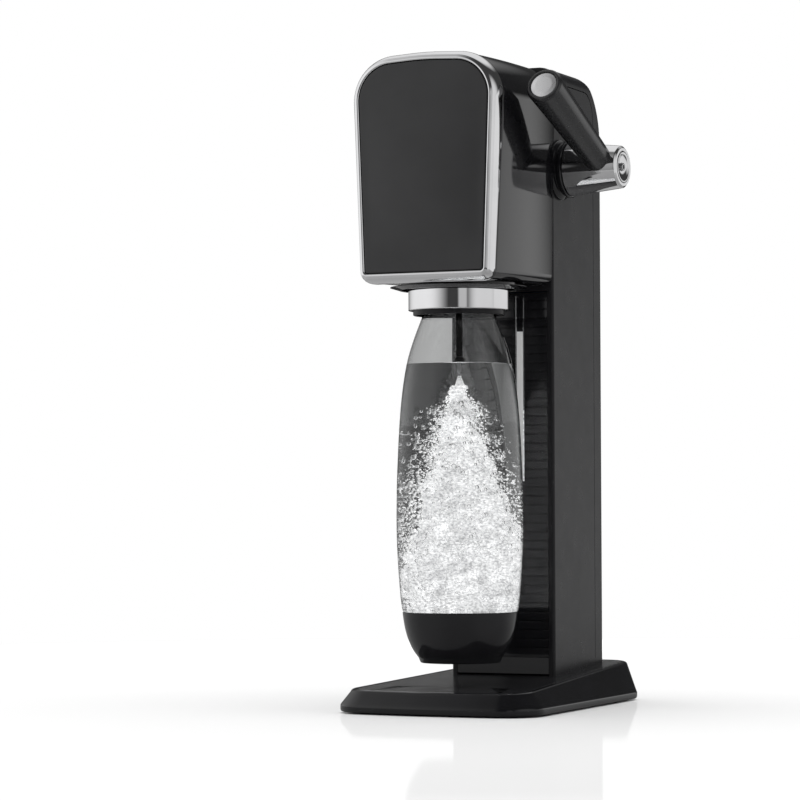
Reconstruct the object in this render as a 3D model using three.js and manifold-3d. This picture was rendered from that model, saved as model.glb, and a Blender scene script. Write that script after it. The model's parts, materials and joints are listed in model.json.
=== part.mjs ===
// A free-standing lever soda carbonator: base, column, head, tilting bottle holder, bottle,
// gas cylinder and side lever. Millimetres, +Z up, front towards -Y, lever on the +X side.
import * as THREE from 'three';
import { mergeVertices } from 'three/addons/utils/BufferGeometryUtils.js';
import Module from 'manifold-3d';

const wasm = await Module();
wasm.setup();

// ---- Driving dimensions. Inside the machine, X = Y = 0 is the bottle's axis. ----
const MACHINE_X = -6;              // where the bottle's axis stands in the finished part
const MACHINE_Y = -66.5;
const GAP = 0.35;                  // clearance between touching pieces
const WALL = 2.5;                  // housing wall

const BASE_FRONT = -49.9;          // base corners before rounding
const BASE_REAR = 188.6;
const BASE_FRONT_HALF = 73.9;
const BASE_REAR_HALF = 54.1;
const BASE_BOW = 8.6;              // how far the front edge's middle stands forward
const SKIRT = 5.5;                 // height of the upright skirt
const SIDE_SLOPE = 0.5;            // inward run of the base's sides per unit of height
const TOP_HEIGHT = 17.55;          // top face of the base at Y = 0
const TOP_RISE = 0.0532;           // its rise per unit of depth
const PLATE_THICK = 2.0;
const PLATE_RIM = 3.6;
const FOOT_HEIGHT = 1.0;

const COLUMN_FRONT = 66;
const COLUMN_REAR = 170;
const COLUMN_FRONT_HALF = 38.4;
const COLUMN_REAR_HALF = 30.8;
const COLUMN_TOP = 430.6;          // height of the roof's side edges
const CROWN = 1.8;                 // extra height in the middle of the roof
const ROOF_RADIUS = 42;            // the roof's rear rounding
const SEAM_DEPTH = 148.4;          // where the rear cover meets the housing
const SEAM_HEIGHT = 421;
const SEAM_RADIUS = 18;
const ROOF_SEAM = 84;              // where the cover's roof ends, behind the head
const COVER_BOTTOM = 29.6;
const GROOVE_PITCH = 6;
const GROOVE_COUNT = 41;
const FIRST_GROOVE = 33.9;         // height of the lowest groove
const BUTTON_HEIGHT = 378;

const HEAD_FRONT = -53.5;
const BEZEL_BACK = -41;
const HEAD_REAR = 64;
const HEAD_BOTTOM = 280.4;
const HEAD_TOP = 430.2;
const HEAD_TAPER = 1.8;            // its sides start straight and turn in towards the rear
const FRAME_WIDTH = 6;             // chrome frame's width round the front panel
const FRAME_LIFT = 0.6;            // how much wider it is along the bottom
const OPENING_RADIUS = 38.3;       // hole in the head's underside
const TRIM_RADIUS = 45.5;

const RING_RADIUS = 33.6;
const RING_BOTTOM = 264.2;
const SKIRT_BOTTOM = 261;
const RING_TOP = 284.6;
const HOLDER_PIVOT = [38, 293];    // Y and Z of the holder's hinge

const NECK_RADIUS = 18;
const MOUTH_HEIGHT = 317.5;
const BOTTLE_WALL = 1.1;
const CUP_SEAM = 65.6;
const CUP_WALL = 1.4;
const TUBE_TIP = 227.9;

const SHAFT_Y = 80.7;              // lever shaft
const SHAFT_Z = 362.7;
const SHAFT_RADIUS = 5;
const COLLAR_RADIUS = 20.4;
const HUB_START = 46.4;
const HUB_END = 84;
const HUB_ROOT_RADIUS = 18.1;
const HUB_TIP_RADIUS = 14.1;
const GRIP_X = 70;
const GRIP_LENGTH = 109;
const GRIP_RISE = 24.6;            // degrees above level at rest
const GRIP_TIP_RADIUS = 12.2;
const GRIP_ROOT_RADIUS = 9.4;
const CAM_RADIUS = 9;
const CAM_LIFT = 3;                // plunger travel over the lever's full turn
const LEVER_TURN = 45;             // degrees

const CYLINDER_Y = 122;
const CYLINDER_RADIUS = 29.5;

// ---- Looks ----
const finish = (color, roughness, metalness = 0) =>
  new THREE.MeshStandardMaterial({ color, roughness, metalness });
const glossBlack = finish(0x0d0d0e, 0.12);
const satinBlack = finish(0x222324, 0.4);
const mattBlack = finish(0x2b2b2c, 0.7);
const chrome = finish(0xd8d9db, 0.08, 1);
const satinMetal = finish(0xc4c5c7, 0.35, 1);
const steel = finish(0xa2a5a8, 0.3, 1);
const brass = finish(0xb08d48, 0.3, 1);
const rubber = finish(0x191919, 0.85);
const clearPlastic = finish(0xe6eef0, 0.05);
const gasBlue = finish(0x3b6f9c, 0.35);

// ---- Geometry helpers ----
const solids = new THREE.Group();
solids.position.set(MACHINE_X, MACHINE_Y, 0);

function closed(geometry) {
  // One welded, outward-facing triangle mesh with positions only.
  const bare = geometry.index ? geometry.toNonIndexed() : geometry.clone();
  bare.deleteAttribute('normal');
  bare.deleteAttribute('uv');
  const welded = mergeVertices(bare, 1e-4);
  const corner = welded.index.array;
  const place = welded.attributes.position.array;
  const at = (i) => new THREE.Vector3().fromArray(place, 3 * i);
  const kept = [];
  let volume = 0;
  for (let i = 0; i < corner.length; i += 3) {
    const [a, b, c] = [corner[i], corner[i + 1], corner[i + 2]];
    if (a === b || b === c || c === a) continue;
    kept.push(a, b, c);
    volume += at(a).dot(at(b).cross(at(c)));
  }
  welded.setIndex(volume > 0 ? kept : kept.reverse());
  return welded;
}

function toSolid(geometry) {
  const mesh = closed(geometry);
  return new wasm.Manifold(new wasm.Mesh({
    numProp: 3,
    vertProperties: new Float32Array(mesh.attributes.position.array),
    triVerts: new Uint32Array(mesh.index.array),
  }));
}

function toGeometry(solid) {
  const mesh = solid.getMesh();
  const geometry = new THREE.BufferGeometry();
  geometry.setAttribute('position', new THREE.BufferAttribute(mesh.vertProperties, 3));
  geometry.setIndex(new THREE.BufferAttribute(mesh.triVerts, 1));
  return geometry;
}

function cut(geometry, ...tools) {
  return toGeometry(tools.reduce((left, tool) => left.subtract(toSolid(tool)), toSolid(geometry)));
}

function common(geometry, ...others) {
  return toGeometry(others.reduce((left, other) => left.intersect(toSolid(other)), toSolid(geometry)));
}

function join(geometry, ...others) {
  return toGeometry(others.reduce((left, other) => left.add(toSolid(other)), toSolid(geometry)));
}

function add(name, geometry, material) {
  const mesh = new THREE.Mesh(closed(geometry), material);
  mesh.name = name;
  solids.add(mesh);
  return mesh;
}

function box(x0, x1, y0, y1, z0, z1) {
  const geometry = new THREE.BoxGeometry(x1 - x0, y1 - y0, z1 - z0);
  return geometry.translate((x0 + x1) / 2, (y0 + y1) / 2, (z0 + z1) / 2);
}

function turned(profile, segments = 24) {
  // Lathe about +Z; profile is a closed list of [radius, height].
  const points = profile.map(([radius, height]) => new THREE.Vector2(radius, height));
  return new THREE.LatheGeometry(points, segments).rotateX(Math.PI / 2);
}

function disc(radius, z0, z1, segments = 24) {
  return turned([[0, z0], [radius, z0], [radius, z1], [0, z1]], segments);
}

function tube(outer, inner, z0, z1, segments = 24) {
  return turned([[inner, z0], [outer, z0], [outer, z1], [inner, z1], [inner, z0]], segments);
}

function alongX(geometry, y, z) {
  // Lays a turned piece along +X on the axis through (y, z).
  return geometry.rotateY(Math.PI / 2).translate(0, y, z);
}

function acrossX(shape, x0, x1, curveSegments = 10) {
  // Extrudes a shape drawn in (Y, Z) from x0 to x1.
  const geometry = new THREE.ExtrudeGeometry(shape, { depth: x1 - x0, bevelEnabled: false, curveSegments });
  const turn = new THREE.Matrix4().makeBasis(
    new THREE.Vector3(0, 1, 0), new THREE.Vector3(0, 0, 1), new THREE.Vector3(1, 0, 0));
  return geometry.applyMatrix4(turn).translate(x0, 0, 0);
}

function helix(radius, wire, turns, z0, z1, sides = 6) {
  const steps = turns * 12;
  const path = [];
  for (let i = 0; i <= steps; i += 1) {
    const angle = 2 * Math.PI * turns * i / steps;
    const height = z0 + (z1 - z0) * i / steps;
    path.push(new THREE.Vector3(radius * Math.cos(angle), radius * Math.sin(angle), height));
  }
  return swept(path, wire, sides, steps);
}

function swept(path, radius, sides, steps) {
  const section = new THREE.Shape();
  section.absarc(0, 0, radius, 0, 2 * Math.PI);
  return new THREE.ExtrudeGeometry(section, {
    steps,
    curveSegments: sides / 2,
    bevelEnabled: false,
    extrudePath: new THREE.CatmullRomCurve3(path),
  });
}

function rounded(corners, radii, steps) {
  // Points round a polygon with each corner turned into an arc of steps pieces.
  const points = [];
  corners.forEach((corner, i) => {
    const here = new THREE.Vector2(...corner);
    const before = new THREE.Vector2(...corners.at(i - 1));
    const after = new THREE.Vector2(...corners[(i + 1) % corners.length]);
    const incoming = here.clone().sub(before).normalize();
    const outgoing = after.clone().sub(here).normalize();
    const turn = Math.acos(THREE.MathUtils.clamp(incoming.dot(outgoing), -1, 1));
    const side = Math.sign(incoming.cross(outgoing));
    const reach = radii[i] * Math.tan(turn / 2);
    const start = here.clone().addScaledVector(incoming, -reach);
    const normal = new THREE.Vector2(-incoming.y, incoming.x).multiplyScalar(side);
    const centre = start.clone().addScaledVector(normal, radii[i]);
    for (let k = 0; k <= steps; k += 1) {
      points.push(start.clone().rotateAround(centre, side * turn * k / steps));
    }
  });
  return points;
}

function inset(corners, distance) {
  // Moves each edge of a counter-clockwise polygon inwards.
  return corners.map((corner, i) => {
    const here = new THREE.Vector2(...corner);
    const before = new THREE.Vector2(...corners.at(i - 1));
    const after = new THREE.Vector2(...corners[(i + 1) % corners.length]);
    const incoming = here.clone().sub(before).normalize();
    const outgoing = after.clone().sub(here).normalize();
    const inward = new THREE.Vector2(-incoming.y - outgoing.y, incoming.x + outgoing.x);
    inward.multiplyScalar(distance / (1 + incoming.dot(outgoing)));
    return here.add(inward).toArray();
  });
}

function loft(rings) {
  // Skins rings of equal length and closes both ends with a fan.
  const count = rings[0].length;
  const middle = (ring) => ring.reduce((sum, p) => sum.add(p), new THREE.Vector3()).divideScalar(count);
  const points = [...rings.flat(), middle(rings[0]), middle(rings.at(-1))];
  const last = points.length - 1;
  const faces = [];
  for (let i = 0; i < count; i += 1) {
    const next = (i + 1) % count;
    for (let k = 0; k < rings.length - 1; k += 1) {
      const [a, b] = [k * count + i, k * count + next];
      faces.push(a, b, b + count, a, b + count, a + count);
    }
    const top = (rings.length - 1) * count;
    faces.push(last - 1, next, i, last, top + i, top + next);
  }
  const geometry = new THREE.BufferGeometry();
  geometry.setAttribute('position', new THREE.Float32BufferAttribute(points.flatMap((p) => p.toArray()), 3));
  geometry.setIndex(faces);
  return geometry;
}

function levelRing(outline, z) {
  return outline.map((p) => new THREE.Vector3(p.x, p.y, z));
}

// ---- Base ----
const BASE_CORNERS = [
  [0, BASE_FRONT - BASE_BOW], [BASE_FRONT_HALF, BASE_FRONT], [BASE_REAR_HALF, BASE_REAR],
  [-BASE_REAR_HALF, BASE_REAR], [-BASE_FRONT_HALF, BASE_FRONT],
];
const BASE_RADII = [400, 26, 28, 28, 26];

function baseOutline(distance) {
  return rounded(inset(BASE_CORNERS, distance), BASE_RADII.map((radius) => radius - distance), 6);
}

function baseBody(distance, z0 = FOOT_HEIGHT) {
  // The base's sloping body, taller than the base; distance shrinks it all round.
  const height = 34;
  return loft([
    levelRing(baseOutline(distance + 0.6), z0),
    levelRing(baseOutline(distance), z0 + 1),
    levelRing(baseOutline(distance), SKIRT),
    levelRing(baseOutline(distance + SIDE_SLOPE * (height - SKIRT)), height),
  ]);
}

function belowTop(drop) {
  // Everything under the base's tilted top face, lowered by drop.
  const reach = 300;
  const top = (y) => TOP_HEIGHT + TOP_RISE * y - drop;
  const shape = new THREE.Shape();
  shape.moveTo(-reach, -reach);
  shape.lineTo(reach, -reach);
  shape.lineTo(reach, top(reach));
  shape.lineTo(-reach, top(-reach));
  return acrossX(shape, -150, 150);
}

function buildBase() {
  const pocket = cut(baseBody(PLATE_RIM, -5), belowTop(PLATE_THICK + 0.2));
  const hollow = common(baseBody(WALL, -5), belowTop(PLATE_THICK + WALL));
  add('base_shell', cut(common(baseBody(0), belowTop(0)), pocket, hollow), glossBlack);

  const plate = cut(common(baseBody(PLATE_RIM + GAP), belowTop(0)), belowTop(PLATE_THICK - 0.1));
  add('base_plate', cut(plate, columnPrism(-GAP)), satinBlack);

  const screwPlaces = footPlaces(0.62);
  const holes = screwPlaces.map(([x, y]) => disc(1.9, 0, 8, 12).translate(x, y, 0));
  const slab = common(baseBody(WALL + GAP, -5), box(-150, 150, -150, 250, 1.6, 3.4));
  add('base_bottom_cover', cut(slab, ...holes), mattBlack);

  footPlaces(1).forEach(([x, y], i) => {
    add(`foot_${i + 1}`, disc(8, 0, 1.3, 20).translate(x, y, 0), rubber);
  });
  screwPlaces.forEach(([x, y], i) => {
    const screw = turned([[0, 0.7], [3, 0.7], [3, 1.3], [1.5, 1.3], [1.5, 9], [0, 9]], 12);
    add(`base_screw_${i + 1}`, screw.translate(x, y, 0), steel);
  });
}

function footPlaces(spread) {
  return [[-52, -26], [52, -26], [38, 160], [-38, 160]].map(([x, y]) => [x * spread, 66 + (y - 66) * spread]);
}

// ---- Column ----
const COLUMN_CORNERS = [
  [-COLUMN_FRONT_HALF, COLUMN_FRONT], [COLUMN_FRONT_HALF, COLUMN_FRONT],
  [COLUMN_REAR_HALF, COLUMN_REAR], [-COLUMN_REAR_HALF, COLUMN_REAR],
];
const COLUMN_RADII = [2, 2, 9, 9];

function columnPrism(distance) {
  const radii = COLUMN_RADII.map((radius) => Math.max(radius - distance, 0.5));
  const outline = rounded(inset(COLUMN_CORNERS, distance), radii, 5);
  return loft([levelRing(outline, -20), levelRing(outline, 460)]);
}

function columnSide(distance) {
  // Side view of the column: flat roof with a large rear rounding.
  const top = COLUMN_TOP + CROWN - distance;
  const rear = COLUMN_REAR + 1 - distance;
  const radius = ROOF_RADIUS + 1 - distance;
  const shape = new THREE.Shape();
  shape.moveTo(0, -20);
  shape.lineTo(rear, -20);
  shape.absarc(rear - radius, top - radius, radius, 0, Math.PI / 2);
  shape.lineTo(0, top);
  return acrossX(shape, -60, 60, 10);
}

function crownedFront(distance) {
  // Front view of the column's roof: crowned, with its side edges rounded.
  const half = COLUMN_FRONT_HALF - distance;
  const corners = [[half, -20], [half, COLUMN_TOP - distance], [0, COLUMN_TOP + CROWN - distance],
    [-half, COLUMN_TOP - distance], [-half, -20]];
  const outline = rounded(corners, [0.5, 7, 300, 7, 0.5], 5);
  return loft([0, 220].map((y) => outline.map((p) => new THREE.Vector3(p.x, y, p.y))));
}

function columnBody(distance) {
  return common(columnPrism(distance), columnSide(distance), crownedFront(distance));
}

function coverRegion(gap) {
  // Side view of what the rear cover takes from the column's shell, shrunk by gap.
  const seam = SEAM_DEPTH + gap;
  const roof = SEAM_HEIGHT + gap;
  const shape = new THREE.Shape();
  shape.moveTo(seam, COVER_BOTTOM);
  shape.lineTo(250, COVER_BOTTOM);
  shape.lineTo(250, 500);
  shape.lineTo(ROOF_SEAM + gap, 500);
  shape.lineTo(ROOF_SEAM + gap, roof);
  shape.lineTo(seam - SEAM_RADIUS, roof);
  shape.absarc(seam - SEAM_RADIUS, roof - SEAM_RADIUS, SEAM_RADIUS, Math.PI / 2, 0, true);
  return acrossX(shape, -60, 60, 8);
}

function grooveSection() {
  // Side view of the front wall panel: flat at the back, a comb of square grooves in front.
  const front = COLUMN_FRONT + 0.2;
  const back = COLUMN_FRONT + 4;
  const bottom = 22.2;
  const top = 279.5;
  const depth = 0.9;
  const half = 0.5;
  const shape = new THREE.Shape();
  shape.moveTo(back, bottom);
  shape.lineTo(back, top);
  shape.lineTo(front, top);
  for (let i = GROOVE_COUNT; i > 0; i -= 1) {
    const z = FIRST_GROOVE + (i - 1) * GROOVE_PITCH;
    shape.lineTo(front, z + half);
    shape.lineTo(front + depth, z + half);
    shape.lineTo(front + depth, z - half);
    shape.lineTo(front, z - half);
  }
  shape.lineTo(front, bottom);
  return shape;
}

function buildColumn() {
  const shell = cut(columnBody(0), columnBody(WALL), belowTop(PLATE_THICK - 0.15));
  const panelWindow = box(-34.2, 34.2, 50, 80, 10, 280);
  const headWindow = box(-30, 30, 50, 80, 300, 415);
  const shaftHole = alongX(disc(8.6, 20, 50, 24), SHAFT_Y, SHAFT_Z);
  add('column_housing', cut(shell, coverRegion(0), panelWindow, headWindow, shaftHole), satinBlack);
  add('column_front_wall', acrossX(grooveSection(), -33.9, 33.9), satinBlack);

  const buttonHole = disc(9.2, -20, 20, 24).rotateX(Math.PI / 2).translate(0, COLUMN_REAR, BUTTON_HEIGHT);
  add('rear_cover', cut(common(shell, coverRegion(GAP)), buttonHole), satinBlack);

  const button = turned([[0, 0], [8.8, 0], [8.8, 7], [7.8, 8], [0, 8]], 24);
  button.rotateX(-Math.PI / 2).translate(0, COLUMN_REAR - 8.3, BUTTON_HEIGHT);
  add('cover_button', button, glossBlack);
}

// ---- Head ----
function headOutline(share, distance, bottomLift = 0) {
  // Front view of the head: share is 0 where the shell starts, 1 at the rear and negative in the frame.
  const lerp = THREE.MathUtils.lerp;
  const back = Math.max(share, 0);
  const flare = 24 * Math.max(-share, 0);
  const halfTop = lerp(53.9, 42.6, back ** HEAD_TAPER);
  const halfBottom = lerp(45.6, 39.6, back ** HEAD_TAPER) + flare;
  const bottom = lerp(HEAD_BOTTOM, HEAD_BOTTOM + 2.4, share) + bottomLift;
  const shoulder = lerp(HEAD_TOP - 2.3, HEAD_TOP, back);
  const corners = [
    [-halfBottom, bottom], [halfBottom, bottom], [halfTop, shoulder],
    [0, HEAD_TOP + lerp(0.6, 2.2, back)], [-halfTop, shoulder],
  ];
  const topRadius = lerp(30, 24, back);
  const radii = [8, 8, topRadius, 220, topRadius];
  return rounded(inset(corners, distance), radii.map((radius) => radius - distance), 6);
}

function headRing(y, distance, bottomLift = 0) {
  const share = THREE.MathUtils.inverseLerp(BEZEL_BACK, HEAD_REAR, y);
  return headOutline(share, distance, bottomLift).map((p) => new THREE.Vector3(p.x, y, p.y));
}

function windowRing(y, distance) {
  // The straight-sided window in the chrome frame, shrunk by distance.
  const share = THREE.MathUtils.inverseLerp(BEZEL_BACK, HEAD_REAR, HEAD_FRONT);
  return headOutline(share, FRAME_WIDTH + distance, FRAME_LIFT).map((p) => new THREE.Vector3(p.x, y, p.y));
}

function buildHead() {
  const [shellFront, shellRear] = [BEZEL_BACK + GAP, HEAD_REAR - 2];
  const depths = [0, 0.25, 0.5, 0.75, 1].map((part) => THREE.MathUtils.lerp(shellFront, shellRear, part));
  const outer = loft([...depths.map((y) => headRing(y, 0.4)), headRing(HEAD_REAR + 1.4, 2)]);
  const innerDepths = [BEZEL_BACK - 5, ...depths, HEAD_REAR + 5];
  const inner = loft(innerDepths.map((y) => headRing(y, WALL + 0.4)));
  const opening = disc(OPENING_RADIUS, 270, 300, 32);
  const collarNotch = alongX(disc(COLLAR_RADIUS + GAP, 30, 60, 36), SHAFT_Y, SHAFT_Z);
  add('head_shell', cut(outer, inner, opening, collarNotch), glossBlack);

  const bezelOuter = loft([
    headRing(HEAD_FRONT, 4.6), headRing(HEAD_FRONT + 0.8, 2.9), headRing(HEAD_FRONT + 2.5, 1.5),
    headRing(HEAD_FRONT + 5, 0.6), headRing(BEZEL_BACK, 0)]);
  const bezelInner = loft([windowRing(HEAD_FRONT - 5, 0), windowRing(BEZEL_BACK + 5, 0)]);
  add('head_bezel', cut(bezelOuter, bezelInner), chrome);

  const panel = loft([
    windowRing(HEAD_FRONT + 0.2, GAP + 0.5), windowRing(HEAD_FRONT + 0.7, GAP),
    windowRing(HEAD_FRONT + 3.5, GAP)]);
  add('head_front_panel', panel, satinBlack);

  const trimTop = HEAD_BOTTOM - 0.65;
  const trimInner = OPENING_RADIUS - 0.4;
  const trim = turned([
    [trimInner, trimTop - 1.9], [trimInner + 0.4, trimTop - 2.1], [trimInner + 1.2, trimTop - 2.1],
    [TRIM_RADIUS, trimTop - 0.5], [TRIM_RADIUS, trimTop], [trimInner, trimTop],
    [trimInner, trimTop - 1.9]], 32);
  add('opening_trim', trim, glossBlack);
}

// ---- Bottle holder ----
function buildHolder() {
  const ring = turned([[31, RING_BOTTOM], [RING_RADIUS - 0.6, RING_BOTTOM], [RING_RADIUS, RING_BOTTOM + 0.6],
    [RING_RADIUS, RING_TOP], [31, RING_TOP], [31, RING_BOTTOM]], 32);
  add('holder_ring', ring, chrome);
  add('holder_skirt', tube(30.6, 28.4, SKIRT_BOTTOM, RING_TOP, 28), mattBlack);

  const [pivotY, pivotZ] = HOLDER_PIVOT;
  const flange = tube(32.6, 22.4, RING_TOP + GAP, 288.6);
  const cup = turned([[22.4, 288], [26, 288], [26, 326], [0, 326], [0, 322.6], [22.4, 322.6], [22.4, 288]]);
  const arm = (x) => box(x - 2.5, x + 2.5, 8, pivotY + 4, 286, pivotZ + 4.5);
  const pinHole = alongX(disc(2.4, -40, 40, 16), pivotY, pivotZ);
  const tubeHole = disc(2.6, 315, 330, 16);
  const block = cut(join(flange, cup, arm(-26.5), arm(26.5)), pinHole, tubeHole,
    disc(22.4, 280, 322.6));
  add('holder_block', block, mattBlack);

  add('bottle_gasket', tube(19.5, 11, 318, 322.2), rubber);
  const stem = turned([
    [1.1, TUBE_TIP + 6], [2.2, TUBE_TIP + 6], [2.2, 332], [1.1, 332], [1.1, TUBE_TIP + 6]], 16);
  add('carbonating_tube', stem, mattBlack);
  const tip = turned([
    [1.1, TUBE_TIP], [2.8, TUBE_TIP], [3.3, TUBE_TIP + 0.6], [3.3, TUBE_TIP + 3],
    [2.4, TUBE_TIP + 5.7], [1.1, TUBE_TIP + 5.7], [1.1, TUBE_TIP]], 16);
  add('tube_tip', tip, mattBlack);
  const jet = turned([[0, 220.6], [0.5, 220.6], [0.9, 222], [0.9, TUBE_TIP + 4], [0, TUBE_TIP + 4]], 10);
  add('jet_nozzle', jet, steel);
}

function buildHolderSupports() {
  const [pivotY, pivotZ] = HOLDER_PIVOT;
  add('holder_pin', alongX(disc(2, -35.5, 35.5, 16), pivotY, pivotZ), steel);
  const plate = box(31, 34, pivotY - 5, COLUMN_FRONT - 0.4, pivotZ - 5, pivotZ + 7);
  const hole = alongX(disc(2.35, -40, 40, 16), pivotY, pivotZ);
  add('pivot_bracket_right', cut(plate, hole), steel);
  add('pivot_bracket_left', cut(plate.clone().translate(-65, 0, 0), hole), steel);
}

// ---- Bottle ----
const BOTTLE_PROFILE = [
  [25.4, 32.4], [29.3, 34.4], [34.2, 47], [37.4, 60.6], [40.4, 90], [41.8, 126], [41.3, 160],
  [39.6, 192], [36.2, 221], [31.0, 242.5], [24.4, 260.5], [19.6, 273], [NECK_RADIUS, 284],
];

function bottleRadius(z) {
  // Outer radius of the bottle with its cup at height z.
  const i = Math.max(1, BOTTLE_PROFILE.findIndex(([, height]) => height >= z));
  const [r0, z0] = BOTTLE_PROFILE[i - 1];
  const [r1, z1] = BOTTLE_PROFILE[i];
  return THREE.MathUtils.mapLinear(z, z0, z1, r0, r1);
}

function buildBottle() {
  const lower = [[0, 36.5], [22, 37.2], [27, 39.5], [31, 46], [34.8, 57], [36.2, CUP_SEAM + GAP]];
  const upper = BOTTLE_PROFILE.filter(([, z]) => z > CUP_SEAM + 1);
  const outer = [...lower, [bottleRadius(CUP_SEAM + GAP), CUP_SEAM + GAP], ...upper,
    [NECK_RADIUS, 291], [20.5, 291.6], [20.5, 293.4], [NECK_RADIUS, 294], [NECK_RADIUS, MOUTH_HEIGHT]];
  const inner = [[NECK_RADIUS - 1.8, MOUTH_HEIGHT], [NECK_RADIUS - 1.8, 284],
    ...upper.slice(0, -1).reverse().map(([r, z]) => [r - BOTTLE_WALL, z]),
    [35.4, CUP_SEAM], [33.6, 57], [29.8, 46.4], [26, 40.8], [21, 38.6], [0, 37.8]];
  add('bottle', turned([...outer, ...inner], 24), clearPlastic);

  const cupOuter = [[0, 34.6], [21, 34.6], [24, BOTTLE_PROFILE[0][1]],
    ...BOTTLE_PROFILE.filter(([, z]) => z < CUP_SEAM), [bottleRadius(CUP_SEAM), CUP_SEAM]];
  const cupInner = [[bottleRadius(CUP_SEAM) - CUP_WALL, CUP_SEAM], [34.8 + GAP, 56.8], [31 + GAP, 45.6],
    [27 + GAP, 39], [22, 36.4], [0, 36.1]];
  add('bottle_cup', turned([...cupOuter, ...cupInner], 24), satinBlack);
}

// ---- Lever ----
function hubProfile(grow) {
  return [[0, HUB_START - grow], [HUB_ROOT_RADIUS + grow, HUB_START - grow],
    [HUB_TIP_RADIUS + 0.1 + grow, HUB_END - 1.6], [HUB_TIP_RADIUS - 1.2 + grow, HUB_END + grow],
    [11 - grow, HUB_END + grow], [8.5 - grow, HUB_END - 2 + grow], [0, HUB_END - 2 + grow]];
}

function buildLever() {
  const shaftHole = disc(SHAFT_RADIUS + GAP, 40, HUB_END - 8, 20);
  const screwHole = disc(2.6, HUB_END - 9, HUB_END + 5, 16);
  const hub = cut(turned(hubProfile(0), 32), shaftHole, screwHole);
  add('lever_hub', alongX(hub, SHAFT_Y, SHAFT_Z), chrome);

  const rod = turned([
    [0, 2], [GRIP_ROOT_RADIUS, 2], [GRIP_ROOT_RADIUS, 12], [GRIP_TIP_RADIUS, GRIP_LENGTH - 3],
    [GRIP_TIP_RADIUS - 0.6, GRIP_LENGTH - 0.8], [GRIP_TIP_RADIUS - 2, GRIP_LENGTH],
    [GRIP_TIP_RADIUS - 2.9, GRIP_LENGTH], [GRIP_TIP_RADIUS - 2.9, GRIP_LENGTH - 1.6],
    [0, GRIP_LENGTH - 1.6]], 28);
  const place = (geometry) => geometry
    .rotateX(Math.PI / 2 - THREE.MathUtils.degToRad(GRIP_RISE))
    .translate(GRIP_X, SHAFT_Y, SHAFT_Z);
  const clearance = alongX(turned(hubProfile(GAP), 32), SHAFT_Y, SHAFT_Z);
  add('lever_grip', cut(place(rod), clearance), satinBlack);
  const end = turned([[0, GRIP_LENGTH - 1.25], [8.9, GRIP_LENGTH - 1.25], [8.9, GRIP_LENGTH - 0.4],
    [6, GRIP_LENGTH], [0, GRIP_LENGTH + 0.1]], 28);
  add('grip_end_disc', place(end), satinMetal);

  const cap = turned([[2.9, HUB_END - 1.6], [7.8, HUB_END - 1.6], [10.2, HUB_END + 0.2], [8.9, HUB_END + 0.3],
    [6, HUB_END - 0.6], [2.9, HUB_END - 0.9], [2.9, HUB_END - 1.6]]);
  add('hub_end_cap', alongX(cap, SHAFT_Y, SHAFT_Z), chrome);
  const screw = turned([[0, HUB_END - 12], [1.9, HUB_END - 12], [1.9, HUB_END - 1], [2.4, HUB_END - 1],
    [2.4, HUB_END + 0.4], [1.2, HUB_END + 0.4], [1.2, HUB_END - 0.6], [0, HUB_END - 0.6]], 16);
  add('hub_screw', alongX(screw, SHAFT_Y, SHAFT_Z), steel);

  const thread = disc(2.25, HUB_END - 13, HUB_END, 16);
  const shaft = cut(disc(SHAFT_RADIUS, -33, HUB_END - 8.4, 20), thread);
  add('lever_shaft', alongX(shaft, SHAFT_Y, SHAFT_Z), steel);
  add('lever_cam', acrossX(camOutline(), -5, 5), steel);
  add('shaft_clip', alongX(tube(7.5, SHAFT_RADIUS + GAP, -12, -10.5, 20), SHAFT_Y, SHAFT_Z), steel);
}

function camOutline() {
  // A cam that stays round except below its axis, where its radius grows as the lever turns.
  const shape = new THREE.Shape();
  const steps = 40;
  const turn = THREE.MathUtils.degToRad(LEVER_TURN);
  for (let i = 0; i < steps; i += 1) {
    const angle = 2 * Math.PI * i / steps;
    const past = Math.min(Math.max(angle, 0), turn) / turn;
    const fall = THREE.MathUtils.smoothstep(angle, turn * 1.3, turn * 2.6);
    const radius = CAM_RADIUS + CAM_LIFT * past * (1 - fall);
    const direction = -Math.PI / 2 - angle;
    const [y, z] = [SHAFT_Y + radius * Math.cos(direction), SHAFT_Z + radius * Math.sin(direction)];
    shape[i ? 'lineTo' : 'moveTo'](y, z);
  }
  const bore = new THREE.Path();
  bore.absarc(SHAFT_Y, SHAFT_Z, SHAFT_RADIUS + GAP, 0, 2 * Math.PI);
  shape.holes.push(bore);
  return shape;
}

function buildLeverSupports() {
  const collar = turned([
    [9.2, 37.9], [COLLAR_RADIUS, 37.9], [COLLAR_RADIUS, 39.4], [19.2, 40.6], [17.6, 41.4], [17.6, 43.6],
    [19.3, 44.2], [19.3, 45.4], [18.4, HUB_START - 0.5], [9.2, HUB_START - 0.5], [9.2, 37.9]], 28);
  add('lever_collar', alongX(cut(collar, columnRightSide()), SHAFT_Y, SHAFT_Z), glossBlack);
  const bush = tube(8.2, SHAFT_RADIUS + 0.1, 30, 45.4, 24);
  add('shaft_bush_right', alongX(bush, SHAFT_Y, SHAFT_Z), brass);
  add('shaft_bush_left', alongX(tube(8.2, SHAFT_RADIUS + 0.1, -34.2, -26, 24), SHAFT_Y, SHAFT_Z), brass);
}

function columnRightSide() {
  // The column's tapering body in the collar's own frame, before the collar is laid along X.
  const body = columnPrism(-GAP);
  return body.translate(0, -SHAFT_Y, -SHAFT_Z).rotateY(-Math.PI / 2);
}

// ---- Gas side ----
const PLUNGER_TOP = SHAFT_Z - CAM_RADIUS - 1.05;
const PLUNGER_Y = SHAFT_Y;

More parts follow.
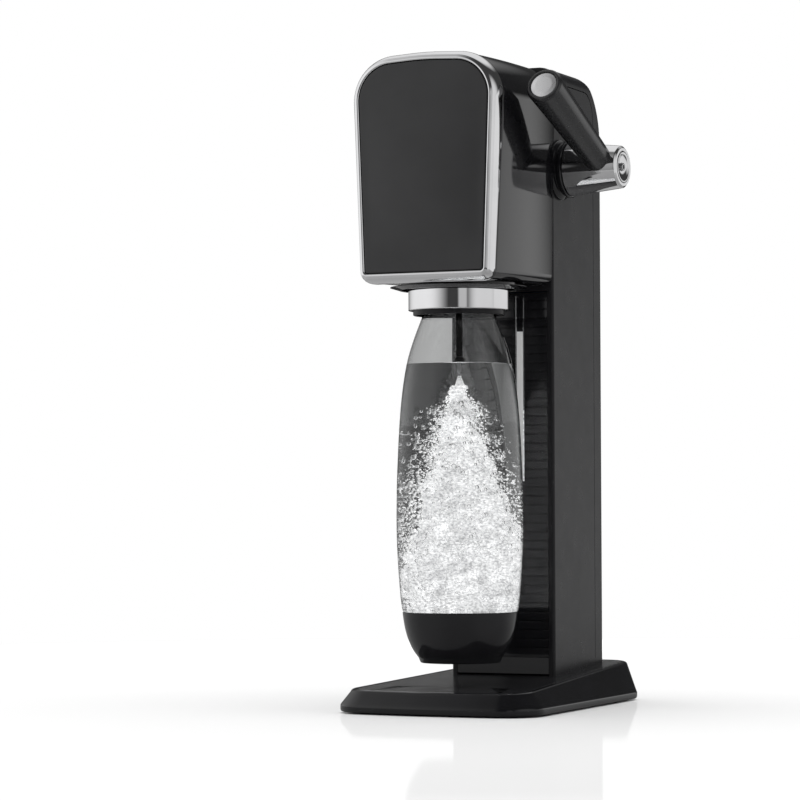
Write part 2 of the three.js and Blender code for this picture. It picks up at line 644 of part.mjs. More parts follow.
function buildValve() {
  const body = box(-11, 11, 71.4, 89.4, 296, 330);
  const bore = disc(4.4, 306, 331, 20).translate(0, PLUNGER_Y, 0);
  add('valve_block', cut(body, bore), brass);
  const plunger = turned([
    [0, 312], [3, 312], [3, 341.6], [6, 341.6], [6, PLUNGER_TOP], [0, PLUNGER_TOP]], 20);
  add('valve_plunger', plunger.translate(0, PLUNGER_Y, 0), steel);
  const spring = helix(4.7, 0.6, 4, 331.6, 340.4);
  add('valve_spring', spring.translate(0, PLUNGER_Y, 0), steel);
  const relief = turned([[0, 11.4], [4.2, 11.4], [4.2, 17], [5.2, 17], [5.2, 21], [0, 21]], 6);
  add('relief_valve', relief.rotateY(-Math.PI / 2).translate(0, 80, 304), brass);
}

function buildCylinder() {
  const profile = [[0, 36], [22, 36], [27, 37.5], [CYLINDER_RADIUS, 41], [CYLINDER_RADIUS, 316], [27.6, 326],
    [22, 335], [14, 341], [12, 345], [12, 352], [0, 352]];
  add('gas_cylinder', turned(profile).translate(0, CYLINDER_Y, 0), gasBlue);
  const valve = turned([
    [0, 352.4], [11, 352.4], [11, 360], [8, 361.5], [8, 370], [10, 370.5], [10, 375], [0, 375]], 24);
  add('cylinder_valve', valve.translate(0, CYLINDER_Y, 0), brass);

  const seat = turned([
    [0, 26.4], [30.4, 26.4], [30.4, 40], [29.9, 40], [29.9, 40.6], [28.4, 37.2], [23, 35.2], [0, 35.2]]);
  const seatSolid = cut(seat.translate(0, CYLINDER_Y, 0), belowTop(-1.5));
  add('cylinder_seat', seatSolid, mattBlack);

  const clampBody = join(
    box(-17, 17, CYLINDER_Y - 13, CYLINDER_Y + 13, 376, 394),
    box(-17, -12.5, CYLINDER_Y - 13, CYLINDER_Y + 13, 362, 380),
    box(12.5, 17, CYLINDER_Y - 13, CYLINDER_Y + 13, 362, 380));
  add('cylinder_connector', clampBody, steel);
  const handle = join(
    box(-22, -17.4, CYLINDER_Y - 4, CYLINDER_Y + 22, 380, 388),
    box(17.4, 22, CYLINDER_Y - 4, CYLINDER_Y + 22, 380, 388),
    box(-22, 22, CYLINDER_Y + 18, CYLINDER_Y + 22, 348, 388));
  add('connector_handle', handle, mattBlack);
}

function buildHoses() {
  const supply = [[17.5, 115, 370], [21, 115, 370], [24.5, 111, 364], [25, 104, 348], [23, 95, 330],
    [19, 86, 316], [15, 82, 312], [11.4, 82, 312]];
  const feed = [[0, 71, 316], [0, 66, 316], [0, 54, 314.5], [0, 42, 307.5], [0, 32, 304], [0, 26.6, 304]];
  const vector = (point) => new THREE.Vector3(...point);
  add('supply_hose', swept(supply.map(vector), 1.8, 8, 18), mattBlack);
  add('feed_hose', swept(feed.map(vector), 1.8, 8, 12), mattBlack);
}

buildBase();
buildColumn();
buildHead();
buildHolder();
buildHolderSupports();
buildBottle();
buildLever();
buildLeverSupports();
buildValve();
buildCylinder();
buildHoses();

export default solids;
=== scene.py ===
"""The soda carbonator's looks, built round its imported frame. Sizes are millimetres in the machine's own
axes: the bottle's axis is X = Y = 0, the worktop is Z = 0, the front faces -Y and the lever is on +X."""
import json
import math
import random

import bmesh
import bpy
from mathutils import Matrix, Vector, noise


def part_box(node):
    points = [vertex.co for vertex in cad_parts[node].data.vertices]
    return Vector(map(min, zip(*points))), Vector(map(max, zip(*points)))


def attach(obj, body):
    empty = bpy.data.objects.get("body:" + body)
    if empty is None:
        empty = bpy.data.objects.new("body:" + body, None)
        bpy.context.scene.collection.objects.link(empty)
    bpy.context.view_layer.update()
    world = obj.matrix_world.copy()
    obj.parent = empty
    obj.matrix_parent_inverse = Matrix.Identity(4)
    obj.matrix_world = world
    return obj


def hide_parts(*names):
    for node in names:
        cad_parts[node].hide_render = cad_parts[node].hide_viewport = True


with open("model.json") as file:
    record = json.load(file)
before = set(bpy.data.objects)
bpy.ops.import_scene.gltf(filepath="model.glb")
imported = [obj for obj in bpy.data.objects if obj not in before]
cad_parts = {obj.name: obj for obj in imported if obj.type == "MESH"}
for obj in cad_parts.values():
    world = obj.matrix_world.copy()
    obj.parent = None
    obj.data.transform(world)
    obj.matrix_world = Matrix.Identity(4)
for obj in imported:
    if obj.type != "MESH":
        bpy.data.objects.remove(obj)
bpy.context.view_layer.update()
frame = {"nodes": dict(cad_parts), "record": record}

MM = 0.001
bottle_low, bottle_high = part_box("bottle")
AXIS = (bottle_low + bottle_high) / 2

# ---- Driving dimensions, as in the frame ----
WALL = 2.5
TOP_HEIGHT = 17.55         # top face of the base at Y = 0, and its rise per unit of depth
TOP_RISE = 0.0532
BASE_FRONT, BASE_REAR = -49.9, 188.6
BASE_MIDDLE = 60.0         # the depth at which the base's side is measured
BASE_FRONT_HALF, BASE_REAR_HALF = 73.9, 54.1
BASE_BOW = 8.6
SKIRT = 5.5
SIDE_SLOPE = 0.5
PLATE_RIM = 3.6
COLUMN_FRONT, COLUMN_REAR = 66.0, 170.0
COLUMN_FRONT_HALF, COLUMN_REAR_HALF = 38.4, 30.8
COLUMN_TOP = 430.6
CROWN = 1.8
ROOF_RADIUS = 42.0
ROOF_EDGE = 7.0
SEAM_DEPTH, SEAM_HEIGHT, SEAM_RADIUS = 148.4, 421.0, 18.0
ROOF_SEAM = 84.0
COVER_BOTTOM = 29.6
SEAM_GAP = 0.6
GROOVED_HALF = 33.9
GROOVE_PITCH, GROOVE_COUNT, FIRST_GROOVE = 6.0, 41, 33.9
STRIP_LEFT, STRIP_RIGHT = 10.9, 16.9
STRIP_BOTTOM, STRIP_TOP = 152.0, 277.0
STRIP_BORDER = 0.8
PALE_INSERT_TOP = 253.0
HEAD_FRONT, BEZEL_BACK, HEAD_REAR = -53.5, -41.0, 64.0
HEAD_BOTTOM, HEAD_TOP = 280.4, 430.2
HEAD_TAPER = 1.8           # its sides start straight and turn in towards the rear
HEAD_TOP_HALF, HEAD_TOP_HALF_REAR = 53.9, 42.6
HEAD_FOOT_HALF, HEAD_FOOT_HALF_REAR = 45.6, 39.6
HEAD_FLARE = 24.0          # how fast its frame widens at the foot, in front of the shell
HEAD_CROWN, HEAD_CROWN_REAR = 0.6, 2.2
HEAD_CORNER, HEAD_CORNER_REAR = 30.0, 24.0
HEAD_SHOULDER_DROP, HEAD_FOOT_RISE = 2.3, 2.4
FRAME_WIDTH, FRAME_LIFT = 6.0, 0.6
PANEL_CROWN = 1.9
PANEL_TOP_HALF, PANEL_FOOT_HALF = 48.0, 39.2
OPENING_RADIUS, TRIM_RADIUS = 38.3, 45.5
RING_RADIUS, RING_BOTTOM, RING_TOP = 33.6, 264.2, 284.6
SKIRT_BOTTOM = 261.0
BUTTON_HEIGHT, BUTTON_RADIUS = 378.0, 8.8
NECK_RADIUS, MOUTH_HEIGHT = 18.0, 317.5
CUP_SEAM = 65.6
WATER_LEVEL = 228.4
WATER_INSET = 0.75         # from the bottle's outer face to the water's, just inside the wall
TUBE_TIP, TUBE_TOP = 227.9, 332.0
JET_TIP = 220.6
SHAFT_Y, SHAFT_Z = 80.7, 362.7
COLLAR_RADIUS, COLLAR_BORE, COLLAR_START = 20.4, 9.2, 34.5
HUB_START, HUB_END = 46.4, 84.0
HUB_ROOT_RADIUS, HUB_TIP_RADIUS = 18.1, 14.1
GRIP_X, GRIP_LENGTH, GRIP_RISE = 70.0, 109.0, 24.6
GRIP_ROOT_RADIUS, GRIP_TIP_RADIUS = 9.4, 12.2
CYLINDER_Y, CYLINDER_RADIUS = 122.0, 29.5

# ---- Camera ----
CAMERA_AZIMUTH, CAMERA_PITCH, CAMERA_ROLL = 26.7, 1.77, -0.2
CAMERA_LENS = 149.6
CAMERA_DISTANCE = 2213.5
CAMERA_AIM = (-43.9, 0.0, 206.1)


def place(x, y, z):
    """A machine point in millimetres as a frame point in metres."""
    return Vector((AXIS.x + x * MM, AXIS.y + y * MM, z * MM))


def linked(name, data):
    """A new object in the scene for a mesh, a light or a camera."""
    thing = bpy.data.objects.new(name, data)
    bpy.context.scene.collection.objects.link(thing)
    return thing


def make_camera():
    azimuth, pitch, roll = (math.radians(a) for a in (CAMERA_AZIMUTH, CAMERA_PITCH, CAMERA_ROLL))
    forward = Vector((-math.sin(azimuth) * math.cos(pitch), math.cos(azimuth) * math.cos(pitch),
                      math.sin(pitch)))
    level = Vector((math.cos(azimuth), math.sin(azimuth), 0))
    above = level.cross(forward)
    right = level * math.cos(roll) + above * math.sin(roll)
    up = right.cross(forward)
    turn = Matrix((right, up, -forward)).transposed().to_4x4()
    data = bpy.data.cameras.new("camera")
    data.lens = CAMERA_LENS
    data.sensor_width = 36
    data.clip_end = 50
    camera = linked("camera", data)
    camera.matrix_world = Matrix.Translation(place(*CAMERA_AIM) - forward * CAMERA_DISTANCE * MM) @ turn
    bpy.context.scene.camera = camera


make_camera()


# ---- Materials ----
def new_material(name):
    material = bpy.data.materials.new(name)
    material.use_nodes = True
    nodes = material.node_tree.nodes
    return material, nodes, material.node_tree.links, nodes["Principled BSDF"]


def grain(nodes, links, scale, detail=3.0, coordinates=None):
    """Noise over the object's own coordinates; scale is features per metre."""
    where = coordinates or nodes.new("ShaderNodeTexCoord").outputs["Object"]
    texture = nodes.new("ShaderNodeTexNoise")
    texture.inputs["Scale"].default_value = scale
    texture.inputs["Detail"].default_value = detail
    links.new(where, texture.inputs["Vector"])
    return texture.outputs["Fac"]


def mapped(nodes, links, value, low, high, start=0.3, end=0.7):
    ramp = nodes.new("ShaderNodeMapRange")
    ramp.inputs["From Min"].default_value = start
    ramp.inputs["From Max"].default_value = end
    ramp.inputs["To Min"].default_value = low
    ramp.inputs["To Max"].default_value = high
    links.new(value, ramp.inputs["Value"])
    return ramp.outputs["Result"]


def blended(nodes, links, value, dark, light):
    mix = nodes.new("ShaderNodeMix")
    mix.data_type = "RGBA"
    mix.inputs["A"].default_value = (*dark, 1)
    mix.inputs["B"].default_value = (*light, 1)
    links.new(value, mix.inputs["Factor"])
    return mix.outputs["Result"]


def combined(nodes, links, operation, first, second):
    """One value from two by a maths operation; the second may be a plain number."""
    node = nodes.new("ShaderNodeMath")
    node.operation = operation
    links.new(first, node.inputs[0])
    if isinstance(second, float):
        node.inputs[1].default_value = second
    else:
        links.new(second, node.inputs[1])
    return node.outputs["Value"]


def bumped(nodes, links, shader, value, strength, distance):
    bump = nodes.new("ShaderNodeBump")
    bump.inputs["Strength"].default_value = strength
    bump.inputs["Distance"].default_value = distance
    links.new(value, bump.inputs["Height"])
    links.new(bump.outputs["Normal"], shader.inputs["Normal"])


def plastic(name, dark, light, rough_low, rough_high, grain_scale, grain_depth, specular=0.5):
    """Moulded plastic: a fine grain, slow colour drift and uneven sheen."""
    material, nodes, links, shader = new_material(name)
    drift = mapped(nodes, links, grain(nodes, links, 35), 0, 1)
    links.new(blended(nodes, links, drift, dark, light), shader.inputs["Base Color"])
    smear = grain(nodes, links, 90, 6)
    links.new(mapped(nodes, links, smear, rough_low, rough_high), shader.inputs["Roughness"])
    shader.inputs["Specular IOR Level"].default_value = specular
    bumped(nodes, links, shader, grain(nodes, links, grain_scale, 4), 0.5, grain_depth * MM)
    return material


def metal(name, dark, light, rough_low, rough_high, stretch=(1, 1, 1), depth=0.004):
    """Metal with fine scratches that run along the axis with the smallest stretch."""
    material, nodes, links, shader = new_material(name)
    shader.inputs["Metallic"].default_value = 1
    scale = nodes.new("ShaderNodeMapping")
    scale.inputs["Scale"].default_value = stretch
    links.new(nodes.new("ShaderNodeTexCoord").outputs["Object"], scale.inputs["Vector"])
    lines = grain(nodes, links, 900, 5, scale.outputs["Vector"])
    drift = mapped(nodes, links, grain(nodes, links, 40, 3), 0, 1)
    links.new(blended(nodes, links, drift, dark, light), shader.inputs["Base Color"])
    links.new(mapped(nodes, links, lines, rough_low, rough_high), shader.inputs["Roughness"])
    bumped(nodes, links, shader, lines, 0.3, depth * MM)
    return material


def clear(name, ior, tint, rough_low, rough_high, dent_scale, dent_depth, edge_painted_shade=1.0):
    """A clear solid with faint uneven sheen and slow dents, and a painted shade that darkens its rim where it
    is seen edge on.
    """
    material, nodes, links, shader = new_material(name)
    edge = nodes.new("ShaderNodeLayerWeight")
    edge.inputs["Blend"].default_value = 0.5
    # Painted shade: the colour darkens towards the rim, where the surface is seen edge on.
    rim = mapped(nodes, links, edge.outputs["Facing"], 0, 1, 0.72, 1.0)
    painted_edge_tint = tuple(c * edge_painted_shade for c in tint)
    links.new(blended(nodes, links, rim, tint, painted_edge_tint), shader.inputs["Base Color"])
    shader.inputs["Transmission Weight"].default_value = 1
    shader.inputs["IOR"].default_value = ior
    sheen = mapped(nodes, links, grain(nodes, links, 60), rough_low, rough_high)
    links.new(sheen, shader.inputs["Roughness"])
    bumped(nodes, links, shader, grain(nodes, links, dent_scale, 2), 0.5, dent_depth * MM)
    return material


# Plastics and metals: name, darker and lighter colour, lowest and highest roughness. Then come the grain's
# scale and depth and the specular level, or the scratches' stretch and depth. Clear ones: name, index of
# refraction, tint, lowest and highest roughness, the dents' scale and depth, how much darker the painted
# shade makes the rim.
LOOKS = {
    "gloss_black": plastic("gloss_black_plastic", (0.004, 0.004, 0.0045), (0.006, 0.006, 0.007),
                           0.05, 0.08, 260, 0.002, 0.42),
    "satin_black": plastic("satin_black_plastic", (0.009, 0.009, 0.010), (0.012, 0.012, 0.013),
                           0.27, 0.30, 5200, 0.006, 0.13),
    "panel_black": plastic("panel_black_satin", (0.009, 0.009, 0.010), (0.012, 0.012, 0.013),
                           0.34, 0.40, 6000, 0.012, 0.6),
    "grip_black": plastic("grip_black_satin", (0.007, 0.007, 0.008), (0.010, 0.010, 0.011),
                          0.26, 0.29, 4200, 0.006, 0.62),
    "wall_black": plastic("wall_black_gloss", (0.006, 0.006, 0.007), (0.009, 0.009, 0.010),
                          0.07, 0.11, 260, 0.001, 0.42),
    "cup_black": plastic("cup_black_gloss", (0.006, 0.006, 0.007), (0.009, 0.009, 0.010),
                         0.12, 0.17, 1500, 0.005, 0.36),
    "plate_black": plastic("plate_black_satin", (0.008, 0.008, 0.009), (0.012, 0.012, 0.013),
                           0.20, 0.27, 3600, 0.010),
    "matt_black": plastic("matt_black_plastic", (0.020, 0.020, 0.020), (0.030, 0.030, 0.030),
                          0.50, 0.62, 2600, 0.05),
    "pale_plastic": plastic("pale_plastic", (0.80, 0.80, 0.80), (0.84, 0.84, 0.84),
                            0.2, 0.3, 900, 0.004),
    "rubber": plastic("black_rubber", (0.014, 0.014, 0.014), (0.024, 0.024, 0.023),
                      0.72, 0.86, 1800, 0.06, 0.3),
    "cylinder_paint": plastic("blue_paint", (0.020, 0.085, 0.20), (0.028, 0.105, 0.24),
                              0.18, 0.26, 700, 0.02),
    "chrome_trim": metal("chrome", (0.76, 0.76, 0.77), (0.82, 0.82, 0.83),
                         0.03, 0.06, depth=0.0003),
    "satin_metal": metal("satin_aluminium", (0.74, 0.74, 0.75), (0.80, 0.80, 0.81),
                         0.26, 0.36, depth=0.004),
    "steel": metal("plain_steel", (0.46, 0.46, 0.47), (0.56, 0.56, 0.57), 0.22, 0.34, (1, 1, 0.1)),
    "brass": metal("machined_brass", (0.55, 0.38, 0.15), (0.64, 0.46, 0.20),
                   0.18, 0.30, (1, 1, 0.15)),
    "clear_plastic": clear("clear_bottle_plastic", 1.46, (0.97, 0.975, 0.975),
                           0.0, 0.02, 30, 0.03, 0.25),
    "water": clear("carbonated_water", 1.333, (0.985, 0.992, 0.995), 0.0, 0.01, 40, 0.02),
    "bubble": clear("bubble_skin", 0.76, (1, 1, 1), 0.0, 0.02, 500, 0.005),
}


# ---- Mesh making ----
def filleted(corners, steps=8, closed=False):
    """Points along a polygon whose corners are (u, v, radius), each turned into an arc."""
    points = []
    last = len(corners) - 1
    for i, (u, v, radius) in enumerate(corners):
        here = Vector((u, v))
        if radius <= 0 or (not closed and i in (0, last)):
            points.append(here)
            continue
        before = Vector(corners[i - 1][:2])
        after = Vector(corners[(i + 1) % len(corners)][:2])
        incoming = (here - before).normalized()
        outgoing = (after - here).normalized()
        turn = math.acos(max(-1, min(1, incoming.dot(outgoing))))
        side = math.copysign(1, incoming.cross(outgoing))
        start = here - incoming * radius * math.tan(turn / 2)
        centre = start + Vector((-incoming.y, incoming.x)) * side * radius
        for k in range(steps + 1):
            points.append(centre + Matrix.Rotation(side * turn * k / steps, 2) @ (start - centre))
    return [tuple(point) for point in points]


def inset(corners, distance):
    """Moves each edge of a counter-clockwise polygon inwards."""
    moved = []
    for i, corner in enumerate(corners):
        here = Vector(corner)
        incoming = (here - Vector(corners[i - 1])).normalized()
        outgoing = (Vector(corners[(i + 1) % len(corners)]) - here).normalized()
        inward = Vector((-incoming.y - outgoing.y, incoming.x + outgoing.x))
        moved.append(here + inward * distance / (1 + incoming.dot(outgoing)))
    return moved


def smoothed(piece, angle=32):
    """Smooth shading that stays flat on flat faces and breaks at edges sharper than angle."""
    piece.data.shade_smooth()
    piece.data.set_sharp_from_angle(angle=math.radians(angle))
    weigh = piece.modifiers.new("weigh", "WEIGHTED_NORMAL")
    weigh.keep_sharp = True
    applied(piece)
    return piece


def applied(piece):
    """Bakes the piece's modifiers into its mesh."""
    depsgraph = bpy.context.evaluated_depsgraph_get()
    mesh = bpy.data.meshes.new_from_object(piece.evaluated_get(depsgraph))
    piece.modifiers.clear()
    piece.data = mesh
    return piece


def from_parts(name, points, faces, turn=None):
    """A closed mesh from machine points, turned by a matrix first, welded and facing outwards."""
    turn = turn or Matrix.Identity(4)
    mesh = bpy.data.meshes.new(name)
    mesh.from_pydata([place(*(turn @ Vector(p))) for p in points], [], faces)
    work = bmesh.new()
    work.from_mesh(mesh)
    bmesh.ops.remove_doubles(work, verts=work.verts, dist=0.002 * MM)
    bmesh.ops.dissolve_degenerate(work, edges=work.edges, dist=0.001 * MM)
    bmesh.ops.recalc_face_normals(work, faces=work.faces)
    work.to_mesh(mesh)
    work.free()
    return linked(name, mesh)


def skin(name, rings, loop=False, caps=False, turn=None):
    """Skins rings of equal length. A loop joins the last ring to the first; caps closes both ends."""
    count = len(rings[0])
    total = len(rings)
    faces = []
    for k in range(total if loop else total - 1):
        for i in range(count):
            j = (i + 1) % count
            above = (k + 1) % total
            faces.append((k * count + i, k * count + j, above * count + j, above * count + i))
    if caps:
        faces.append(tuple(range(count)))
        faces.append(tuple(range((total - 1) * count, total * count)))
    return from_parts(name, [p for ring in rings for p in ring], faces, turn)


def turned(name, profile, segments=128, turn=None):
    """A lathe about +Z from (radius, height) points: an outline off the axis closes on itself."""
    rings = []
    for radius, height in profile:
        angles = (2 * math.pi * i / segments for i in range(segments))
        rings.append([(radius * math.cos(a), radius * math.sin(a), height) for a in angles])
    return skin(name, rings, loop=profile[0][0] > 0, turn=turn)


def prism(name, outline, x0, x1):
    """A (Y, Z) outline carried along X."""
    return skin(name, [[(x, y, z) for y, z in outline] for x in (x0, x1)], caps=True)


def block(name, low, high):
    (x0, y0, z0), (x1, y1, z1) = low, high
    return prism(name, [(y0, z0), (y1, z0), (y1, z1), (y0, z1)], x0, x1)


def carve(piece, tool, operation="DIFFERENCE"):
    cut = piece.modifiers.new("cut", "BOOLEAN")
    cut.object = tool
    cut.operation = operation
    cut.solver = "EXACT"
    applied(piece)
    bpy.data.objects.remove(tool)
    return piece


def drilled(piece, radius, low, high, segments, turn=None):
    """Cuts a round hole along Z, from low to high, after turning it by a matrix."""
    outline = [(0, low), (radius, low), (radius, high), (0, high)]
    return carve(piece, turned("cutter", outline, segments, turn))


def softened(piece, width, segments=2, angle=40):
    """Rounds every edge sharper than angle."""
    bevel = piece.modifiers.new("bevel", "BEVEL")
    bevel.width = width * MM
    bevel.segments = segments
    bevel.limit_method = "ANGLE"
    bevel.angle_limit = math.radians(angle)
    bevel.use_clamp_overlap = True
    return applied(piece)


def fitted(piece, body, slot, *nodes, look=None, angle=32):
    """Finishes a piece: shading, material, the body it rides on and the nodes it stands for."""
    smoothed(piece, angle)
    piece.data.materials.clear()
    piece.data.materials.append(LOOKS[look or slot])
    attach(piece, body)
    if nodes:
        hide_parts(*nodes)
    return piece


ALONG_X = Matrix.Translation((0, SHAFT_Y, SHAFT_Z)) @ Matrix.Rotation(math.pi / 2, 4, "Y")
ALONG_GRIP = (Matrix.Translation((GRIP_X, SHAFT_Y, SHAFT_Z))
              @ Matrix.Rotation(math.pi / 2 - math.radians(GRIP_RISE), 4, "X"))


# ---- Base ----
BASE_CORNERS = [
    (0, BASE_FRONT - BASE_BOW), (BASE_FRONT_HALF, BASE_FRONT), (BASE_REAR_HALF, BASE_REAR),
    (-BASE_REAR_HALF, BASE_REAR), (-BASE_FRONT_HALF, BASE_FRONT)]
BASE_RADII = [400, 26, 28, 28, 26]


def base_ring(distance, height):
    """The base's outline, shrunk by distance; height is a number, or a function of Y."""
    corners = inset(BASE_CORNERS, distance)
    outline = filleted([(*c, max(r - distance, 1)) for c, r in zip(corners, BASE_RADII)], 18, closed=True)
    level = height if callable(height) else (lambda y: height)
    return [(x, y, level(y)) for x, y in outline]


def top_plane(drop=0.0):
    return lambda y: TOP_HEIGHT + TOP_RISE * y - drop


def base_side(below, outward=0.0):
    """A ring on the sloping side, below the top face by that much."""
    middle = TOP_HEIGHT + TOP_RISE * BASE_MIDDLE - below
    distance = SIDE_SLOPE * (middle - SKIRT) - outward
    return base_ring(distance, top_plane(below))


def make_base():
    rim = SIDE_SLOPE * (TOP_HEIGHT + TOP_RISE * BASE_MIDDLE - SKIRT)
    plate_edge = PLATE_RIM + rim
    underside = WALL + 3
    upright = [(underside, 1.2), (1.6, 1.0), (0.7, 1.3), (0.15, 2.1), (0, 3.0), (0, SKIRT - 0.7),
               (0.12, SKIRT + 0.1), (0.5, SKIRT + 0.9)]
    rings = [base_ring(distance, height) for distance, height in upright]
    # The sides slope up to the tilted top face.
    low = rings[-1]
    high = base_side(1.3)
    for share in (0.25, 0.5, 0.75, 0.9):
        rings.append([tuple(Vector(a).lerp(Vector(b), share)) for a, b in zip(low, high)])
    rings += [high, base_side(0.75, 0.05)]
    # The rounded rim, then the recess for the plate.
    recess = [(rim + 0.2, 0.3), (rim + 0.6, 0.06), (rim + 1.1, 0), (plate_edge - 0.5, 0),
              (plate_edge - 0.15, 0.1), (plate_edge, 0.4), (plate_edge, 2.1), (plate_edge + 4, 2.1),
              (plate_edge + 4, 4.5)]
    rings += [base_ring(distance, top_plane(drop)) for distance, drop in recess]
    rings.append(base_ring(underside, 6.0))
    fitted(skin("base_body", rings, loop=True), "machine", "gloss_black", "base_shell")

    edge = plate_edge + 0.45
    profile = [(30, 2.0), (0.3, 2.0), (0, 1.7), (0, 0.5), (0.12, 0.2), (0.4, 0.06), (0.8, 0.03), (30, 0.03)]
    rings = [base_ring(edge + further, top_plane(drop)) for further, drop in profile]
    plate = skin("base_top_plate", rings, caps=True)
    fitted(plate, "machine", "satin_black", "base_plate", look="plate_black")


# ---- Column ----
def column_ring(distance, height, rear, narrowing, crown_share):
    """One level of the column: rear is where its back stands, narrowing how far its sides have turned in."""
    share = (rear - COLUMN_FRONT) / (COLUMN_REAR - COLUMN_FRONT)
    rear_half = COLUMN_FRONT_HALF + (COLUMN_REAR_HALF - COLUMN_FRONT_HALF) * share
    corners = inset([(-COLUMN_FRONT_HALF, COLUMN_FRONT), (COLUMN_FRONT_HALF, COLUMN_FRONT), (rear_half, rear),
                     (-rear_half, rear)], distance)
    corners = [(x - math.copysign(narrowing, x), y, r) for (x, y), r in zip(corners, (2.2, 2.2, 9, 9))]
    outline = filleted(corners, 12, closed=True)
    ring = []
    for x, y in outline:
        crown = CROWN * crown_share * max(0, 1 - (x / COLUMN_FRONT_HALF) ** 2)
        ring.append((x, y, (height(y) if callable(height) else height) + crown))
    return ring


def column_rings(distance, bottom):
    """The column's surface from its foot to the middle of its roof."""
    rings = [column_ring(distance, bottom, COLUMN_REAR, 0, 0)]
    centre_y = COLUMN_REAR - ROOF_RADIUS
    centre_z = COLUMN_TOP - ROOF_RADIUS
    edge = ROOF_EDGE - distance
    steps = 24
    for k in range(steps + 1):
        turn = math.pi / 2 * k / steps
        height = centre_z + (ROOF_RADIUS - distance) * math.sin(turn)
        rise = height - (COLUMN_TOP - ROOF_EDGE)
        narrowing = edge - math.sqrt(max(0, edge ** 2 - rise ** 2)) if rise > 0 else 0
        rear = centre_y + ROOF_RADIUS * math.cos(turn)
        rings.append(column_ring(distance, height, rear, narrowing, math.sin(turn) ** 4))
    rim = rings[-1]
    middle = Vector((0, (COLUMN_FRONT + centre_y) / 2))
    for share in (0.75, 0.5, 0.25, 0):
        ring = []
        for x, y, z in rim:
            inner = middle.lerp(Vector((x, y)), share)
            crown = CROWN * (1 - (inner.x / COLUMN_FRONT_HALF) ** 2)
            ring.append((inner.x, inner.y, COLUMN_TOP - distance + crown))
        rings.append(ring)
    return rings


def column_shell(name):
    outer = column_rings(0, top_plane(1.85))
    inner = column_rings(WALL, top_plane(1.85))
    return skin(name, inner[::-1] + outer)


def cover_region(gap):
    """The part of the shell that comes off at the back, shrunk by gap."""
    seam = SEAM_DEPTH + gap
    roof = SEAM_HEIGHT + gap
    return filleted([
        (seam, COVER_BOTTOM, 0), (250, COVER_BOTTOM, 0), (250, 500, 0), (ROOF_SEAM + gap, 500, 0),
        (ROOF_SEAM + gap, roof, 0), (seam, roof, SEAM_RADIUS)], 24, closed=True)


def make_column():
    housing = column_shell("column_body")
    carve(housing, prism("cutter", cover_region(0), -60, 60))
    # Openings for the grooved wall, the head and the lever's shaft.
    opening = GROOVED_HALF + 0.3
    carve(housing, block("cutter", (-opening, 50, 10), (opening, 80, 280)))
    carve(housing, block("cutter", (-30, 50, 300), (30, 80, 415)))
    drilled(housing, 8.6, 20, 50, 48, ALONG_X)
    fitted(housing, "machine", "satin_black", "column_housing")

    cover = column_shell("cover_back")
    carve(cover, prism("cutter", cover_region(SEAM_GAP), -60, 60), "INTERSECT")
    bore = Matrix.Translation((0, COLUMN_REAR, BUTTON_HEIGHT)) @ Matrix.Rotation(math.pi / 2, 4, "X")
    drilled(cover, BUTTON_RADIUS + 0.4, -20, 20, 64, bore)
    fitted(cover, "cover", "satin_black", "rear_cover")

    facing = Matrix.Translation((0, COLUMN_REAR - 8.3, BUTTON_HEIGHT)) @ Matrix.Rotation(-math.pi / 2, 4, "X")
    profile = filleted([(0, 0, 0), (BUTTON_RADIUS, 0, 0.4), (BUTTON_RADIUS, 8, 1.1), (6.5, 8, 0.8),
                        (5.5, 7.5, 0.8), (0, 7.3, 0)], 6)
    fitted(turned("cover_release_button", profile, 96, facing), "button", "gloss_black", "cover_button")


def groove_outline():
    """Side view of the front wall: flat behind, rounded grooves in front."""
    front, back = COLUMN_FRONT + 0.2, COLUMN_FRONT + 4
    bottom, top = 22.3, 279.4
    corners = [(back, bottom, 0), (back, top, 0), (front, top, 0.3)]
    for i in reversed(range(GROOVE_COUNT)):
        middle = FIRST_GROOVE + i * GROOVE_PITCH
        corners += [(front, middle + 0.5, 0.15), (front + 1.0, middle + 0.42, 0.15),
                    (front + 1.0, middle - 0.42, 0.15), (front, middle - 0.5, 0.15)]
    corners.append((front, bottom, 0))
    return filleted(corners, 3, closed=True)


def make_front_wall():
    """The grooved wall and its strip: a bright border, a dark window at the top and a pale insert below."""
    wall = prism("column_grooved_wall", groove_outline(), -GROOVED_HALF, GROOVED_HALF)
    fitted(wall, "machine", "satin_black", "column_front_wall", look="wall_black")
    front = COLUMN_FRONT - 0.3
    strip = block("wall_strip", (STRIP_LEFT, front, STRIP_BOTTOM),
                  (STRIP_RIGHT, COLUMN_FRONT + 0.1, STRIP_TOP))
    fitted(softened(strip, 0.15), "machine", "chrome_trim")
    left, right = STRIP_LEFT + STRIP_BORDER, STRIP_RIGHT - STRIP_BORDER
    window = block("strip_window", (left, front - 0.15, PALE_INSERT_TOP + 0.4),
                   (right, front + 0.1, STRIP_TOP - 1))
    fitted(softened(window, 0.1), "machine", "gloss_black")
    # A pale block fills the strip below the window.
    light = block("strip_pale_insert", (left, front - 0.15, STRIP_BOTTOM + 1),
                  (right, front + 0.1, PALE_INSERT_TOP))
    fitted(softened(light, 0.1), "machine", "satin_metal", look="pale_plastic")


def make_seam_rib():
    """A dark rib inside the column, so that no light shows through the seam in its roof."""
    fitted(block("seam_rib", (-0.6, 82, 412), (0.6, 146, 426)), "machine", "matt_black")


# ---- Head ----
def lerp(a, b, share):
    return a + (b - a) * share


